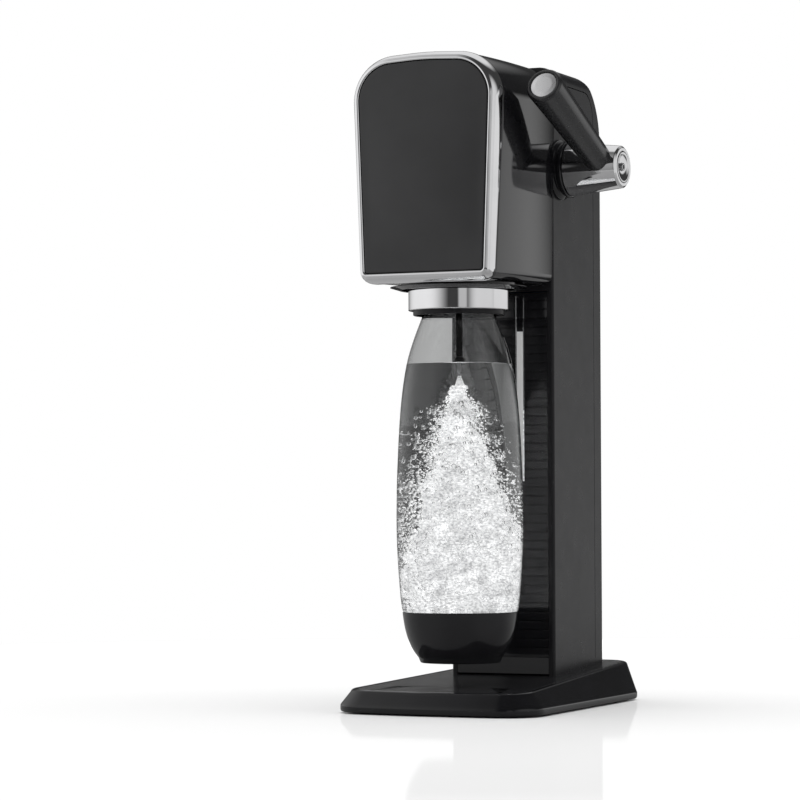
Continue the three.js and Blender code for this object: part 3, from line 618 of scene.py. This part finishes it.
def head_ring(y, distance, lift=0.0, steps=20, window=False):
    """The head's outline at depth y, inset by distance, its foot lifted. A window's sides are straight."""
    share = ((HEAD_FRONT if window else y) - BEZEL_BACK) / (HEAD_REAR - BEZEL_BACK)
    back = max(share, 0)
    half_top = lerp(HEAD_TOP_HALF, HEAD_TOP_HALF_REAR, back ** HEAD_TAPER)
    half_bottom = lerp(HEAD_FOOT_HALF, HEAD_FOOT_HALF_REAR, back ** HEAD_TAPER) + HEAD_FLARE * max(-share, 0)
    bottom = lerp(HEAD_BOTTOM, HEAD_BOTTOM + HEAD_FOOT_RISE, share) + lift
    shoulder = lerp(HEAD_TOP - HEAD_SHOULDER_DROP, HEAD_TOP, back)
    peak = HEAD_TOP + lerp(HEAD_CROWN, HEAD_CROWN_REAR, back)
    corners = inset([(-half_bottom, bottom), (half_bottom, bottom), (half_top, shoulder),
                     (0, peak), (-half_top, shoulder)], distance)
    top_radius = lerp(HEAD_CORNER, HEAD_CORNER_REAR, back)
    radii = [8, 8, top_radius, 220, top_radius]
    outline = filleted([(*c, r - distance) for c, r in zip(corners, radii)], steps, closed=True)
    return [(x, y, z) for x, z in outline]


def divided(rings, longest):
    """The same rings, their long straight sides cut into equal parts."""
    def sides(ring):
        return [(Vector(a), Vector(b)) for a, b in zip(ring, ring[1:] + ring[:1])]

    counts = [max(1, round((b - a).length / longest)) for a, b in sides(rings[0])]
    return [[tuple(a.lerp(b, i / count)) for (a, b), count in zip(sides(ring), counts) for i in range(count)]
            for ring in rings]


def make_head():
    make_head_shell()
    make_head_frame()
    make_head_panel()
    make_opening_lip()


def make_head_shell():
    start = BEZEL_BACK + 0.45
    rear = HEAD_REAR + 1.85
    outer = [head_ring(start, 1.3), head_ring(start + 0.15, 0.8), head_ring(start + 0.6, 0.5)]
    outer += [head_ring(lerp(start + 2, HEAD_REAR - 3, k / 14), 0.4) for k in range(15)]
    outer += [head_ring(HEAD_REAR - 1.2, 0.55), head_ring(HEAD_REAR + 0.2, 1.2), head_ring(rear, 2.4)]
    inner = [head_ring(rear, WALL + 1.2)]
    inner += [head_ring(lerp(HEAD_REAR - 3, start, k / 8), WALL + 0.4) for k in range(9)]
    shell = skin("head_body", outer + inner, loop=True)
    # The opening for the bottle's neck, and room for the lever's collar.
    drilled(shell, OPENING_RADIUS, 270, 300, 128)
    drilled(shell, COLLAR_RADIUS + 0.35, 30, 60, 128, ALONG_X)
    fitted(shell, "machine", "gloss_black", "head_shell")


def make_head_frame():
    """The bright frame: its section runs over a broad outer band, a shallow valley and a bead."""
    section = [
        (BEZEL_BACK, 0.9), (BEZEL_BACK, 0.4), (BEZEL_BACK - 0.3, 0.05), (BEZEL_BACK - 2, 0),
        (BEZEL_BACK - 4.5, 0.05), (BEZEL_BACK - 6.5, 0.3), (BEZEL_BACK - 8.3, 0.8),
        (BEZEL_BACK - 10, 1.55), (BEZEL_BACK - 11.2, 2.3), (BEZEL_BACK - 11.9, 2.95),
        (BEZEL_BACK - 12.15, 3.35), (HEAD_FRONT + 0.22, 3.65), (HEAD_FRONT + 0.1, 3.9),
        (HEAD_FRONT - 0.15, 4.2), (HEAD_FRONT - 0.35, 4.65), (HEAD_FRONT - 0.38, 5.05),
        (HEAD_FRONT - 0.25, 5.45), (HEAD_FRONT + 0.05, 5.8), (HEAD_FRONT + 0.5, FRAME_WIDTH)]
    rings = [head_ring(y, distance, FRAME_LIFT * distance / FRAME_WIDTH, 24) for y, distance in section]
    rings += [head_ring(y, FRAME_WIDTH, FRAME_LIFT, 24, window=True)
              for y in (HEAD_FRONT + 1, HEAD_FRONT + 5, BEZEL_BACK)]
    fitted(skin("head_frame", rings, loop=True), "machine", "chrome_trim", "head_bezel", angle=50)


def make_head_panel():
    """The panel in the frame: a rounded edge round a face that bulges most in the middle."""
    gap = FRAME_WIDTH + 0.4
    edge = [head_ring(HEAD_FRONT + depth, gap + further, FRAME_LIFT, 24, window=True)
            for depth, further in ((3.4, 0), (0.8, 0), (0.42, 0.1), (0.22, 0.35), (0.15, 0.8))]
    edge = divided(edge, 4.0)
    rim = edge[-1]
    middle = Vector((0, 0, (HEAD_TOP + HEAD_BOTTOM) / 2 + 2))
    low, high = min(p[2] for p in rim), max(p[2] for p in rim)
    face = []
    steps = 24
    for k in range(1, steps + 1):
        share = 1 - k / steps
        ring = []
        for x, y, z in rim:
            p = middle.lerp(Vector((x, 0, z)), share)
            up = (p.z - low) / (high - low)
            across = p.x / lerp(PANEL_FOOT_HALF, PANEL_TOP_HALF, up)
            bulge = max(0, 1 - across ** 2) * 4 * up * (1 - up) * (1 - share ** 8)
            ring.append((p.x, y - PANEL_CROWN * bulge, p.z))
        face.append(ring)
    panel = skin("head_panel", [[(middle.x, HEAD_FRONT + 3.4, middle.z)] * len(rim)] + edge + face)
    fitted(panel, "machine", "satin_black", "head_front_panel", look="panel_black")


def make_opening_lip():
    inner, top = OPENING_RADIUS - 0.4, HEAD_BOTTOM - 0.6
    lip = filleted([
        (inner, top - 2.2, 0.5), (inner + 1.4, top - 2.2, 1.5), (TRIM_RADIUS, top - 0.4, 0.2),
        (TRIM_RADIUS, top, 0.1), (inner + 0.35, top, 0.2), (inner + 0.35, top + 4, 0),
        (inner, top + 4, 0)], 6, closed=True)
    fitted(turned("opening_lip", lip, 160), "machine", "gloss_black", "opening_trim")


# ---- Bottle holder ----
def make_holder():
    band = filleted([(31, RING_BOTTOM, 0.3), (RING_RADIUS, RING_BOTTOM, 0.7), (RING_RADIUS, RING_TOP, 0.5),
                     (31, RING_TOP, 0.3)], 6, closed=True)
    fitted(turned("ring_band", band, 192), "holder", "chrome_trim", "holder_ring")
    skirt = filleted([(28.4, SKIRT_BOTTOM, 0.5), (30.4, SKIRT_BOTTOM, 0.8), (30.6, RING_TOP, 0.3),
                      (28.4, RING_TOP, 0.3)], 6, closed=True)
    fitted(turned("ring_skirt", skirt, 160), "holder", "matt_black", "holder_skirt", look="satin_black")
    stem = filleted([(1.1, TUBE_TIP + 5.9, 0), (2.2, TUBE_TIP + 5.9, 0), (2.2, TUBE_TOP, 0.3),
                     (1.1, TUBE_TOP, 0)], 4, closed=True)
    fitted(turned("tube_stem", stem, 64), "holder", "matt_black", "carbonating_tube", look="satin_black")
    tip = filleted([(1.1, TUBE_TIP, 0), (3.0, TUBE_TIP, 0.4), (3.3, TUBE_TIP + 3, 1.2),
                    (2.3, TUBE_TIP + 5.7, 0.4), (1.1, TUBE_TIP + 5.7, 0)], 6, closed=True)
    fitted(turned("tube_end", tip, 64), "holder", "matt_black", "tube_tip", look="gloss_black")
    jet = filleted([(0, JET_TIP, 0), (0.6, JET_TIP, 0.3), (1.0, JET_TIP + 2.9, 2), (1.0, TUBE_TIP + 4, 0),
                    (0, TUBE_TIP + 4, 0)], 6)
    fitted(turned("jet", jet, 48), "holder", "steel", "jet_nozzle")


# ---- Bottle ----
# Heights and outer radii of the clear part above the cup, and of the cup.
SHOULDER = [
    (CUP_SEAM, 37.9), (74, 39.1), (87, 40.2), (100, 41.0), (113, 41.6), (126, 41.8), (140, 41.7), (153, 41.5),
    (166, 41.0), (179, 40.4), (192, 39.6), (205, 38.5), (219, 36.7), (232, 34.2), (245, 30.2), (258, 25.3),
    (270, 20.8), (278, 18.7), (284, NECK_RADIUS)]
CUP_SIDE = [(36, 27.6), (41, 31.2), (47.4, 34.2), (54, 36.2), (60.6, 37.4), (CUP_SEAM, 38.0)]


def smooth_curve(points, steps):
    """A Catmull-Rom curve through (height, radius) points, as (radius, height)."""
    result = []
    for i in range(len(points) - 1):
        p0, p1, p2, p3 = (Vector(points[max(0, min(len(points) - 1, i + k))]) for k in (-1, 0, 1, 2))
        for k in range(steps):
            t = k / steps
            p = (p1 * 2 + (p2 - p0) * t + (p0 * 2 - p1 * 5 + p2 * 4 - p3) * t ** 2
                 + (p1 * 3 - p0 - p2 * 3 + p3) * t ** 3) / 2
            result.append((p.y, p.x))
    result.append((points[-1][1], points[-1][0]))
    return result


def make_bottle():
    side = smooth_curve(SHOULDER, 4)
    wall = 0.9
    foot = [(0, 36.6), (14, 36.8), (22, 37.4), (26.8, 39.6), (30.4, 44.4), (33.4, 51.5), (35.0, 58),
            (36.1, CUP_SEAM - 0.4)]
    neck = filleted([
        (NECK_RADIUS, 285, 0), (NECK_RADIUS, 290.8, 0.4), (20.5, 291.6, 0.4), (20.5, 293.4, 0.4),
        (NECK_RADIUS, 294.2, 0.4), (NECK_RADIUS, MOUTH_HEIGHT, 0.6), (NECK_RADIUS - 1.8, MOUTH_HEIGHT, 0.6),
        (NECK_RADIUS - 1.8, 290, 0)], 4)
    outer = foot + [(37.5, CUP_SEAM + 0.3)] + side[1:] + neck
    inner = [(r - wall, z) for r, z in side[::-1]][1:-1]
    floor = [(35.2, CUP_SEAM - 0.6), (34.1, 58), (32.5, 51.8), (29.5, 45), (26, 40.6), (21.6, 38.6),
             (14, 38.0), (0, 37.8)]
    body = turned("bottle_body", outer + inner + floor, 160)
    fitted(body, "bottle_body", "clear_plastic", "bottle", angle=50)

    cup = [(0, 34.8), (19.5, 34.6)]
    rim = filleted([(19.5, 34.6, 0), (22.5, 34.4, 0.6), (24.2, 32.5, 1.0), (26.2, 32.5, 1.6),
                    (CUP_SIDE[0][1], CUP_SIDE[0][0], 4), (29, 38, 0)], 6)
    cup += rim[1:-1] + smooth_curve(CUP_SIDE, 5)[2:]
    cup += [(37.7, CUP_SEAM + 0.35), (37.0, CUP_SEAM + 0.35), (36.6, CUP_SEAM), (35.4, 58), (33.8, 51.3),
            (30.8, 44), (27.2, 39.0), (22, 36.9), (14, 36.3), (0, 36.2)]
    fitted(turned("cup", cup, 160), "bottle_body", "satin_black", "bottle_cup", look="cup_black")


def water_radius(z):
    """The bottle's inner radius at height z, reaching just into its wall."""
    points = [(37.9, 0), (38.2, 14), (38.8, 21.6), (40.8, 26.1), (45, 29.6), (51.8, 32.6), (58, 34.2),
              (CUP_SEAM - 0.6, 35.5)] + [(height, radius - WATER_INSET) for height, radius in SHOULDER[1:]]
    for (z0, r0), (z1, r1) in zip(points, points[1:]):
        if z <= z1:
            return lerp(r0, r1, max(0, (z - z0) / (z1 - z0)))
    return points[-1][1]


def make_water():
    side = [(r - WATER_INSET, z) for r, z in smooth_curve(SHOULDER, 4) if z < WATER_LEVEL - 0.8]
    foot = [(0, 37.9), (14, 38.1), (21.7, 38.7), (26.1, 40.7), (29.6, 45.1), (32.6, 51.9), (34.2, 58.1),
            (35.6, CUP_SEAM - 0.6)]
    top_radius = water_radius(WATER_LEVEL)
    # The water climbs a little where it meets the wall.
    surface = [(top_radius, WATER_LEVEL + 0.5), (top_radius - 0.7, WATER_LEVEL + 0.15),
               (top_radius - 2, WATER_LEVEL)]
    surface += [(top_radius * k / 8, WATER_LEVEL) for k in range(7, -1, -1)]
    water = turned("water", foot + side[1:] + surface, 160)
    fitted(water, "bottle_body", "clear_plastic", look="water", angle=60)


make_base()
make_column()
make_front_wall()
make_seam_rib()
make_head()
make_holder()
make_bottle()
make_water()


# ---- Lever ----
def make_lever():
    hub = [(0, HUB_START)] + filleted([
        (9, HUB_START, 0), (HUB_ROOT_RADIUS, HUB_START, 0.5), (HUB_TIP_RADIUS + 0.2, HUB_END - 1.3, 0.8),
        (HUB_TIP_RADIUS - 1.3, HUB_END, 0.5), (10.9, HUB_END, 0.4), (8.5, HUB_END - 2, 0.3),
        (0, HUB_END - 2, 0)], 6)
    fitted(turned("hub", hub, 192, ALONG_X), "lever", "chrome_trim", "lever_hub")
    dish = [(2.9, HUB_END - 1.7), (7.8, HUB_END - 1.7), (10.3, HUB_END + 0.1), (9.9, HUB_END + 0.3),
            (9.2, HUB_END + 0.25), (8.2, HUB_END - 0.25), (7.0, HUB_END - 0.8), (5.4, HUB_END - 1.2),
            (3.9, HUB_END - 1.3), (2.9, HUB_END - 1.25)]
    fitted(turned("hub_cap_dish", dish, 128, ALONG_X), "lever", "chrome_trim", "hub_end_cap")
    boss = filleted([
        (0, HUB_END - 12, 0), (1.9, HUB_END - 12, 0.2), (1.9, HUB_END - 1.6, 0), (2.6, HUB_END - 1.6, 0),
        (2.6, HUB_END + 0.4, 0.4), (1.3, HUB_END + 0.4, 0.3), (1.3, HUB_END - 0.9, 0),
        (0, HUB_END - 0.9, 0)], 5)
    fitted(turned("hub_boss", boss, 64, ALONG_X), "lever", "steel", "hub_screw")

    rod = [(0, 4)] + filleted([
        (6, 4, 0), (GRIP_ROOT_RADIUS, 4, 1), (GRIP_ROOT_RADIUS, 16, 30),
        (GRIP_TIP_RADIUS, GRIP_LENGTH - 1.5, 1.6), (GRIP_TIP_RADIUS - 1.2, GRIP_LENGTH, 1.0),
        (GRIP_TIP_RADIUS - 2.9, GRIP_LENGTH, 0.7), (GRIP_TIP_RADIUS - 3.1, GRIP_LENGTH - 1.7, 0),
        (0, GRIP_LENGTH - 1.7, 0)], 8)
    fitted(turned("grip", rod, 160, ALONG_GRIP), "lever", "satin_black", "lever_grip", look="grip_black")
    disc = filleted([(0, GRIP_LENGTH - 1.6, 0), (8.95, GRIP_LENGTH - 1.6, 0), (8.95, GRIP_LENGTH - 0.5, 0.4),
                     (6, GRIP_LENGTH - 0.05, 12), (0, GRIP_LENGTH + 0.2, 0)], 8)
    fitted(turned("grip_disc", disc, 128, ALONG_GRIP), "lever", "satin_metal", "grip_end_disc")


def make_collar():
    profile = filleted([
        (COLLAR_BORE, COLLAR_START, 0), (COLLAR_RADIUS, COLLAR_START, 0), (COLLAR_RADIUS, 39.2, 0.9),
        (19.0, 40.4, 0.6), (17.6, 41.4, 0.5), (17.6, 43.4, 0.3), (19.3, 43.9, 0.4), (19.3, 45.6, 0.6),
        (18.5, HUB_START - 0.4, 0.3), (COLLAR_BORE, HUB_START - 0.4, 0)], 6, closed=True)
    collar = turned("collar", profile, 192, ALONG_X)
    # It is cut back to just outside the column's side.
    rings = [column_ring(-0.35, z, COLUMN_REAR, 0, 0) for z in (300, 420)]
    carve(collar, skin("cutter", rings, caps=True))
    fitted(collar, "machine", "gloss_black", "lever_collar")


# ---- Gas side, seen with the cover off ----
def make_cylinder():
    about_cylinder = Matrix.Translation((0, CYLINDER_Y, 0))
    body = [(0, 36)] + filleted([
        (10, 36, 0), (24, 36, 5), (CYLINDER_RADIUS, 42, 5), (CYLINDER_RADIUS, 316, 25), (18, 339, 8),
        (12, 343, 2), (12, 352, 0.6), (0, 352, 0)], 10)
    fitted(turned("cylinder", body, 128, about_cylinder), "machine", "cylinder_paint", "gas_cylinder")
    valve = filleted([(0, 352.4, 0), (11, 352.4, 0.6), (11, 360, 0.8), (8, 361.5, 0.4), (8, 369.8, 0.3),
                      (10, 370.5, 0.5), (10, 375, 0.8), (0, 375, 0)], 5)
    fitted(turned("cylinder_tap", valve, 96, about_cylinder), "machine", "brass", "cylinder_valve")


make_lever()
make_collar()
make_cylinder()


# ---- Feet ----
def make_feet():
    for i in range(1, 5):
        low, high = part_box(f"foot_{i}")
        middle = (low + high) / 2
        shift = Matrix.Translation(((middle.x - AXIS.x) / MM, (middle.y - AXIS.y) / MM, 0))
        profile = filleted([(0, 0.25, 0), (6, 0, 0.3), (8, 0, 0.5), (8, 1.3, 0), (0, 1.3, 0)], 5)
        fitted(turned(f"rubber_foot_{i}", profile, 64, shift), "machine", "rubber", f"foot_{i}")


make_feet()


# ---- Bubbles ----
def tiny_ball(detail):
    work = bmesh.new()
    bmesh.ops.create_icosphere(work, subdivisions=detail, radius=1)
    points = [v.co.copy() for v in work.verts]
    faces = [tuple(v.index for v in f.verts) for f in work.faces]
    work.free()
    return points, faces


def make_bubbles(name, places, look, detail=1):
    """One mesh of many small balls; places holds (x, y, z, radius)."""
    shape, sides = tiny_ball(detail)
    points, faces = [], []
    for x, y, z, radius in places:
        start = len(points)
        points += [place(x + radius * p.x, y + radius * p.y, z + radius * p.z) for p in shape]
        faces += [tuple(start + k for k in side) for side in sides]
    mesh = bpy.data.meshes.new(name)
    mesh.from_pydata(points, [], faces)
    piece = linked(name, mesh)
    mesh.shade_smooth()
    mesh.materials.append(LOOKS[look])
    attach(piece, "bottle_body")


def froth_look():
    """White froth that glows with painted light in its own colour, darkened by painted shade in the gaps
    between bubbles and by random grain and slow drift.
    """
    material, nodes, links, shader = new_material("fine_froth")
    stretch = nodes.new("ShaderNodeMapping")
    stretch.inputs["Scale"].default_value = (1, 1, 1.7)
    links.new(nodes.new("ShaderNodeTexCoord").outputs["Object"], stretch.inputs["Vector"])
    cells = nodes.new("ShaderNodeTexVoronoi")
    cells.inputs["Scale"].default_value = 520
    links.new(stretch.outputs["Vector"], cells.inputs["Vector"])
    fine = combined(nodes, links, "ADD", grain(nodes, links, 1100, 6, stretch.outputs["Vector"]),
                    cells.outputs["Distance"])
    slow = grain(nodes, links, 80, 3, stretch.outputs["Vector"])
    # Painted shade: darker away from each cell's middle, in the gaps between bubbles, mixed with random fine
    # grain.
    gap_shade_and_grain = mapped(nodes, links, fine, 1, 0.42, 0.62, 1.30)
    drifts = mapped(nodes, links, slow, 0.72, 1, 0.34, 0.50)
    whiteness = combined(nodes, links, "MULTIPLY", gap_shade_and_grain, drifts)
    painted_glow_colour = blended(nodes, links, whiteness, (0.08, 0.08, 0.09), (1, 1, 1))
    links.new(painted_glow_colour, shader.inputs["Base Color"])
    # Painted light: the froth glows in its own colour, though it is no lamp.
    links.new(painted_glow_colour, shader.inputs["Emission Color"])
    shader.inputs["Emission Strength"].default_value = 0.95
    links.new(mapped(nodes, links, grain(nodes, links, 900), 0.10, 0.30), shader.inputs["Roughness"])
    bumped(nodes, links, shader, fine, 0.7, -0.9 * MM)
    return material


LOOKS["foam"] = froth_look()
PLUME_TOP = 219.5


def plume_radius(z):
    """How wide the cloud of gas has spread at height z."""
    return 1.2 + 0.34 * (PLUME_TOP - z)


def make_froth(name):
    """The dense white body of the plume, lumpy all over and leaning towards +X at its foot."""
    rings = []
    bottom = CUP_SEAM - 1
    levels, sides = 260, 180
    for k in range(levels + 1):
        z = lerp(bottom, PLUME_TOP, k / levels)
        limit = water_radius(z) - 1.2
        full = min(plume_radius(z) * 0.68, limit * 0.77)
        aside = 6 * (1 - z / PLUME_TOP)
        ring = []
        for i in range(sides):
            angle = 2 * math.pi * i / sides
            at = Vector((math.cos(angle) * full, math.sin(angle) * full, z))
            # Broad swellings and small lumps, both kept clear of the bottle's wall.
            swell = noise.fractal(at * 0.09 + Vector((5, 2, 0)), 1.0, 2.0, 2)
            lump = noise.fractal(Vector((at.x, at.y, at.z * 1.4)) * 0.38, 0.8, 2.0, 3)
            radius = min(full * (1 + 0.30 * swell) + min(1.6, full * 0.2) * lump, limit - aside)
            ring.append((math.cos(angle) * radius + aside, math.sin(angle) * radius, z))
        rings.append(ring)
    froth = skin(name, rings, caps=True)
    froth.data.materials.append(LOOKS["foam"])
    froth.data.shade_smooth()
    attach(froth, "bottle_body")


def bubble_places(count, seed, low, high, size, inner, outer):
    """Bubbles between inner and outer shares of the plume's radius, gathered in clumps."""
    chance = random.Random(seed)
    places = []
    while len(places) < count:
        z = chance.uniform(low, high)
        limit = water_radius(z) - 1.6
        near = min(limit * 0.72, plume_radius(z) * inner)
        far = min(limit, plume_radius(z) * outer)
        radius = lerp(near, far, chance.random() ** 1.4)
        angle = chance.uniform(0, 2 * math.pi)
        x, y = radius * math.cos(angle), radius * math.sin(angle)
        clump = noise.noise(Vector((x, y, z)) * 0.13 + Vector((seed, 0, 0)))
        if clump + chance.uniform(-0.3, 0.4) < 0:
            continue
        places.append((x, y, z, chance.uniform(*size) * (0.5 + chance.random() ** 2)))
    return places


make_froth("froth")
beads = bubble_places(7500, 3, 66, PLUME_TOP - 6, (0.30, 0.65), inner=0.66, outer=1.2)
make_bubbles("froth_beads", beads, "foam")
clear_bubbles = bubble_places(2100, 8, 64, 204, (0.6, 1.25), inner=0.78, outer=2.2)
make_bubbles("bubbles", clear_bubbles, "bubble", detail=2)


# ---- Nodes that keep their own shape ----
def dress_kept_nodes():
    slots = {part["node"]: part["material_slot"] for part in frame["record"]["subparts"]}
    for name, node in frame["nodes"].items():
        node.data.materials.clear()
        node.data.materials.append(LOOKS[slots[name]])
        node.data.shade_smooth()
        node.data.set_sharp_from_angle(angle=math.radians(30))


dress_kept_nodes()


# ---- Floor and light ----
FLOOR_RADIUS = 1.1             # m
FLOOR_SIDES = 96
FLOOR_IN_REFLECTIONS = 0.38    # how bright the floor looks in the polished parts, as a share
FLOOR_SHINE = 0.19             # the share of the floor's look that is a mirror


def make_floor():
    """A pale disc that brightens to the white of the room at its edge, and mirrors a little."""
    mesh = bpy.data.meshes.new("floor")
    turns = [2 * math.pi * i / FLOOR_SIDES for i in range(FLOOR_SIDES)]
    rim = [(FLOOR_RADIUS * math.cos(turn), FLOOR_RADIUS * math.sin(turn), 0) for turn in turns]
    mesh.from_pydata(rim, [], [tuple(range(FLOOR_SIDES))])
    floor = linked("floor", mesh)
    material, nodes, links, shader = new_material("pale_floor")
    reach = nodes.new("ShaderNodeVectorMath")
    reach.operation = "LENGTH"
    links.new(nodes.new("ShaderNodeTexCoord").outputs["Object"], reach.inputs[0])
    outward = mapped(nodes, links, reach.outputs["Value"], 0, 1, 0.6 * FLOOR_RADIUS, 0.95 * FLOOR_RADIUS)
    patchy = combined(nodes, links, "ADD", outward, mapped(nodes, links, grain(nodes, links, 3), 0, 0.05))
    pale = blended(nodes, links, patchy, (0.71, 0.71, 0.71), (0.90, 0.90, 0.90))
    reflected = nodes.new("ShaderNodeLightPath").outputs["Is Glossy Ray"]
    tone = mapped(nodes, links, reflected, 1.0, FLOOR_IN_REFLECTIONS, 0, 1)
    dimmed = nodes.new("ShaderNodeVectorMath")
    dimmed.operation = "SCALE"
    links.new(pale, dimmed.inputs[0])
    links.new(tone, dimmed.inputs["Scale"])
    links.new(dimmed.outputs["Vector"], shader.inputs["Base Color"])
    shader.inputs["Specular IOR Level"].default_value = 0
    sheen = nodes.new("ShaderNodeBsdfGlossy")
    sheen.inputs["Roughness"].default_value = 0.06
    mix = nodes.new("ShaderNodeMixShader")
    mix.inputs["Fac"].default_value = FLOOR_SHINE
    links.new(shader.outputs["BSDF"], mix.inputs[1])
    links.new(sheen.outputs["BSDF"], mix.inputs[2])
    links.new(mix.outputs["Shader"], nodes["Material Output"].inputs["Surface"])
    mesh.materials.append(material)


def make_light(name, where, towards, width, height, power):
    """A soft light that shows in no reflection."""
    data = bpy.data.lights.new(name, "AREA")
    data.shape = "RECTANGLE"
    data.size = width
    data.size_y = height
    data.energy = power
    light = linked(name, data)
    light.location = where
    light.rotation_euler = (Vector(towards) - Vector(where)).to_track_quat("-Z", "Y").to_euler()
    light.visible_camera = False
    light.visible_glossy = False


# Soft panels of the studio, as reflections see them: where they are, height stretch, the angle in degrees
# within which they are fully bright, the angle at which they end, strength.
STUDIO = [
    ((-0.94, -0.34, 0.10), 1.0, 16, 78, 0.97),     # left
    ((0.66, 0.75, -0.05), 2.6, 27, 39, 0.80),      # right and behind
    ((0.98, -0.08, 0.05), 1.0, 14, 48, 0.75),      # right
    ((-0.45, 0.89, 0.20), 4.0, 9, 16, 1.0),        # the white wall behind, low down
    ((0.56, -0.83, 0.10), 1.0, 6, 13, 0.55),       # a narrow one in front
    ((-0.20, 0.45, 0.85), 1.0, 24, 43, 0.85),      # overhead
]
STUDIO_DARK = 0.05
# What clear parts show behind them: a bright patch in the same terms, then the levels outside and inside it.
SEEN_THROUGH = ((-0.45, 0.89, 0.03), 1.0, 8, 24, 0.10, 0.42)


def glow(nodes, links, direction, towards, stretch, bright, ends, low, high):
    """Rises smoothly from low to high as the direction nears the one given; stretch flattens it in height."""
    scaled = nodes.new("ShaderNodeVectorMath")
    scaled.operation = "MULTIPLY"
    scaled.inputs[1].default_value = (1, 1, stretch)
    links.new(direction, scaled.inputs[0])
    unit = nodes.new("ShaderNodeVectorMath")
    unit.operation = "NORMALIZE"
    links.new(scaled.outputs["Vector"], unit.inputs[0])
    facing = nodes.new("ShaderNodeVectorMath")
    facing.operation = "DOT_PRODUCT"
    facing.inputs[1].default_value = Vector(towards).normalized()
    links.new(unit.outputs["Vector"], facing.inputs[0])
    limits = math.cos(math.radians(ends)), math.cos(math.radians(bright))
    ramp = mapped(nodes, links, facing.outputs["Value"], low, high, *limits)
    ramp.node.interpolation_type = "SMOOTHSTEP"
    return ramp


def chosen(nodes, links, factor, plain, special):
    """Plain where the factor is 0 and special where it is 1; plain may be a number."""
    mix = nodes.new("ShaderNodeMix")
    if isinstance(plain, float):
        mix.inputs["A"].default_value = plain
    else:
        links.new(plain, mix.inputs["A"])
    links.new(special, mix.inputs["B"])
    links.new(factor, mix.inputs["Factor"])
    return mix.outputs["Result"]


def make_world():
    """A white room. Reflections see soft panels in the dark, and clear parts a bright wall behind."""
    world = bpy.data.worlds.new("studio")
    world.use_nodes = True
    bpy.context.scene.world = world
    nodes, links = world.node_tree.nodes, world.node_tree.links
    direction = nodes.new("ShaderNodeTexCoord").outputs["Generated"]
    panels = [glow(nodes, links, direction, towards, stretch, bright, ends, 0, strength)
              for towards, stretch, bright, ends, strength in STUDIO]
    reflected = panels[0]
    for panel in panels[1:]:
        reflected = combined(nodes, links, "MAXIMUM", reflected, panel)
    reflected = combined(nodes, links, "MAXIMUM", reflected, STUDIO_DARK)
    through = glow(nodes, links, direction, *SEEN_THROUGH)
    path = nodes.new("ShaderNodeLightPath").outputs
    level = chosen(nodes, links, path["Is Glossy Ray"], 1.0, reflected)
    level = chosen(nodes, links, path["Is Transmission Ray"], level, through)
    links.new(level, nodes["Background"].inputs["Strength"])
    nodes["Background"].inputs["Color"].default_value = (1, 1, 1, 1)


make_floor()
make_world()
make_light("top_softbox", (0.1, 0.1, 2.0), towards=(0, 0, 0), width=2.4, height=2.4, power=34)
bpy.context.scene.view_settings.view_transform = "Standard"
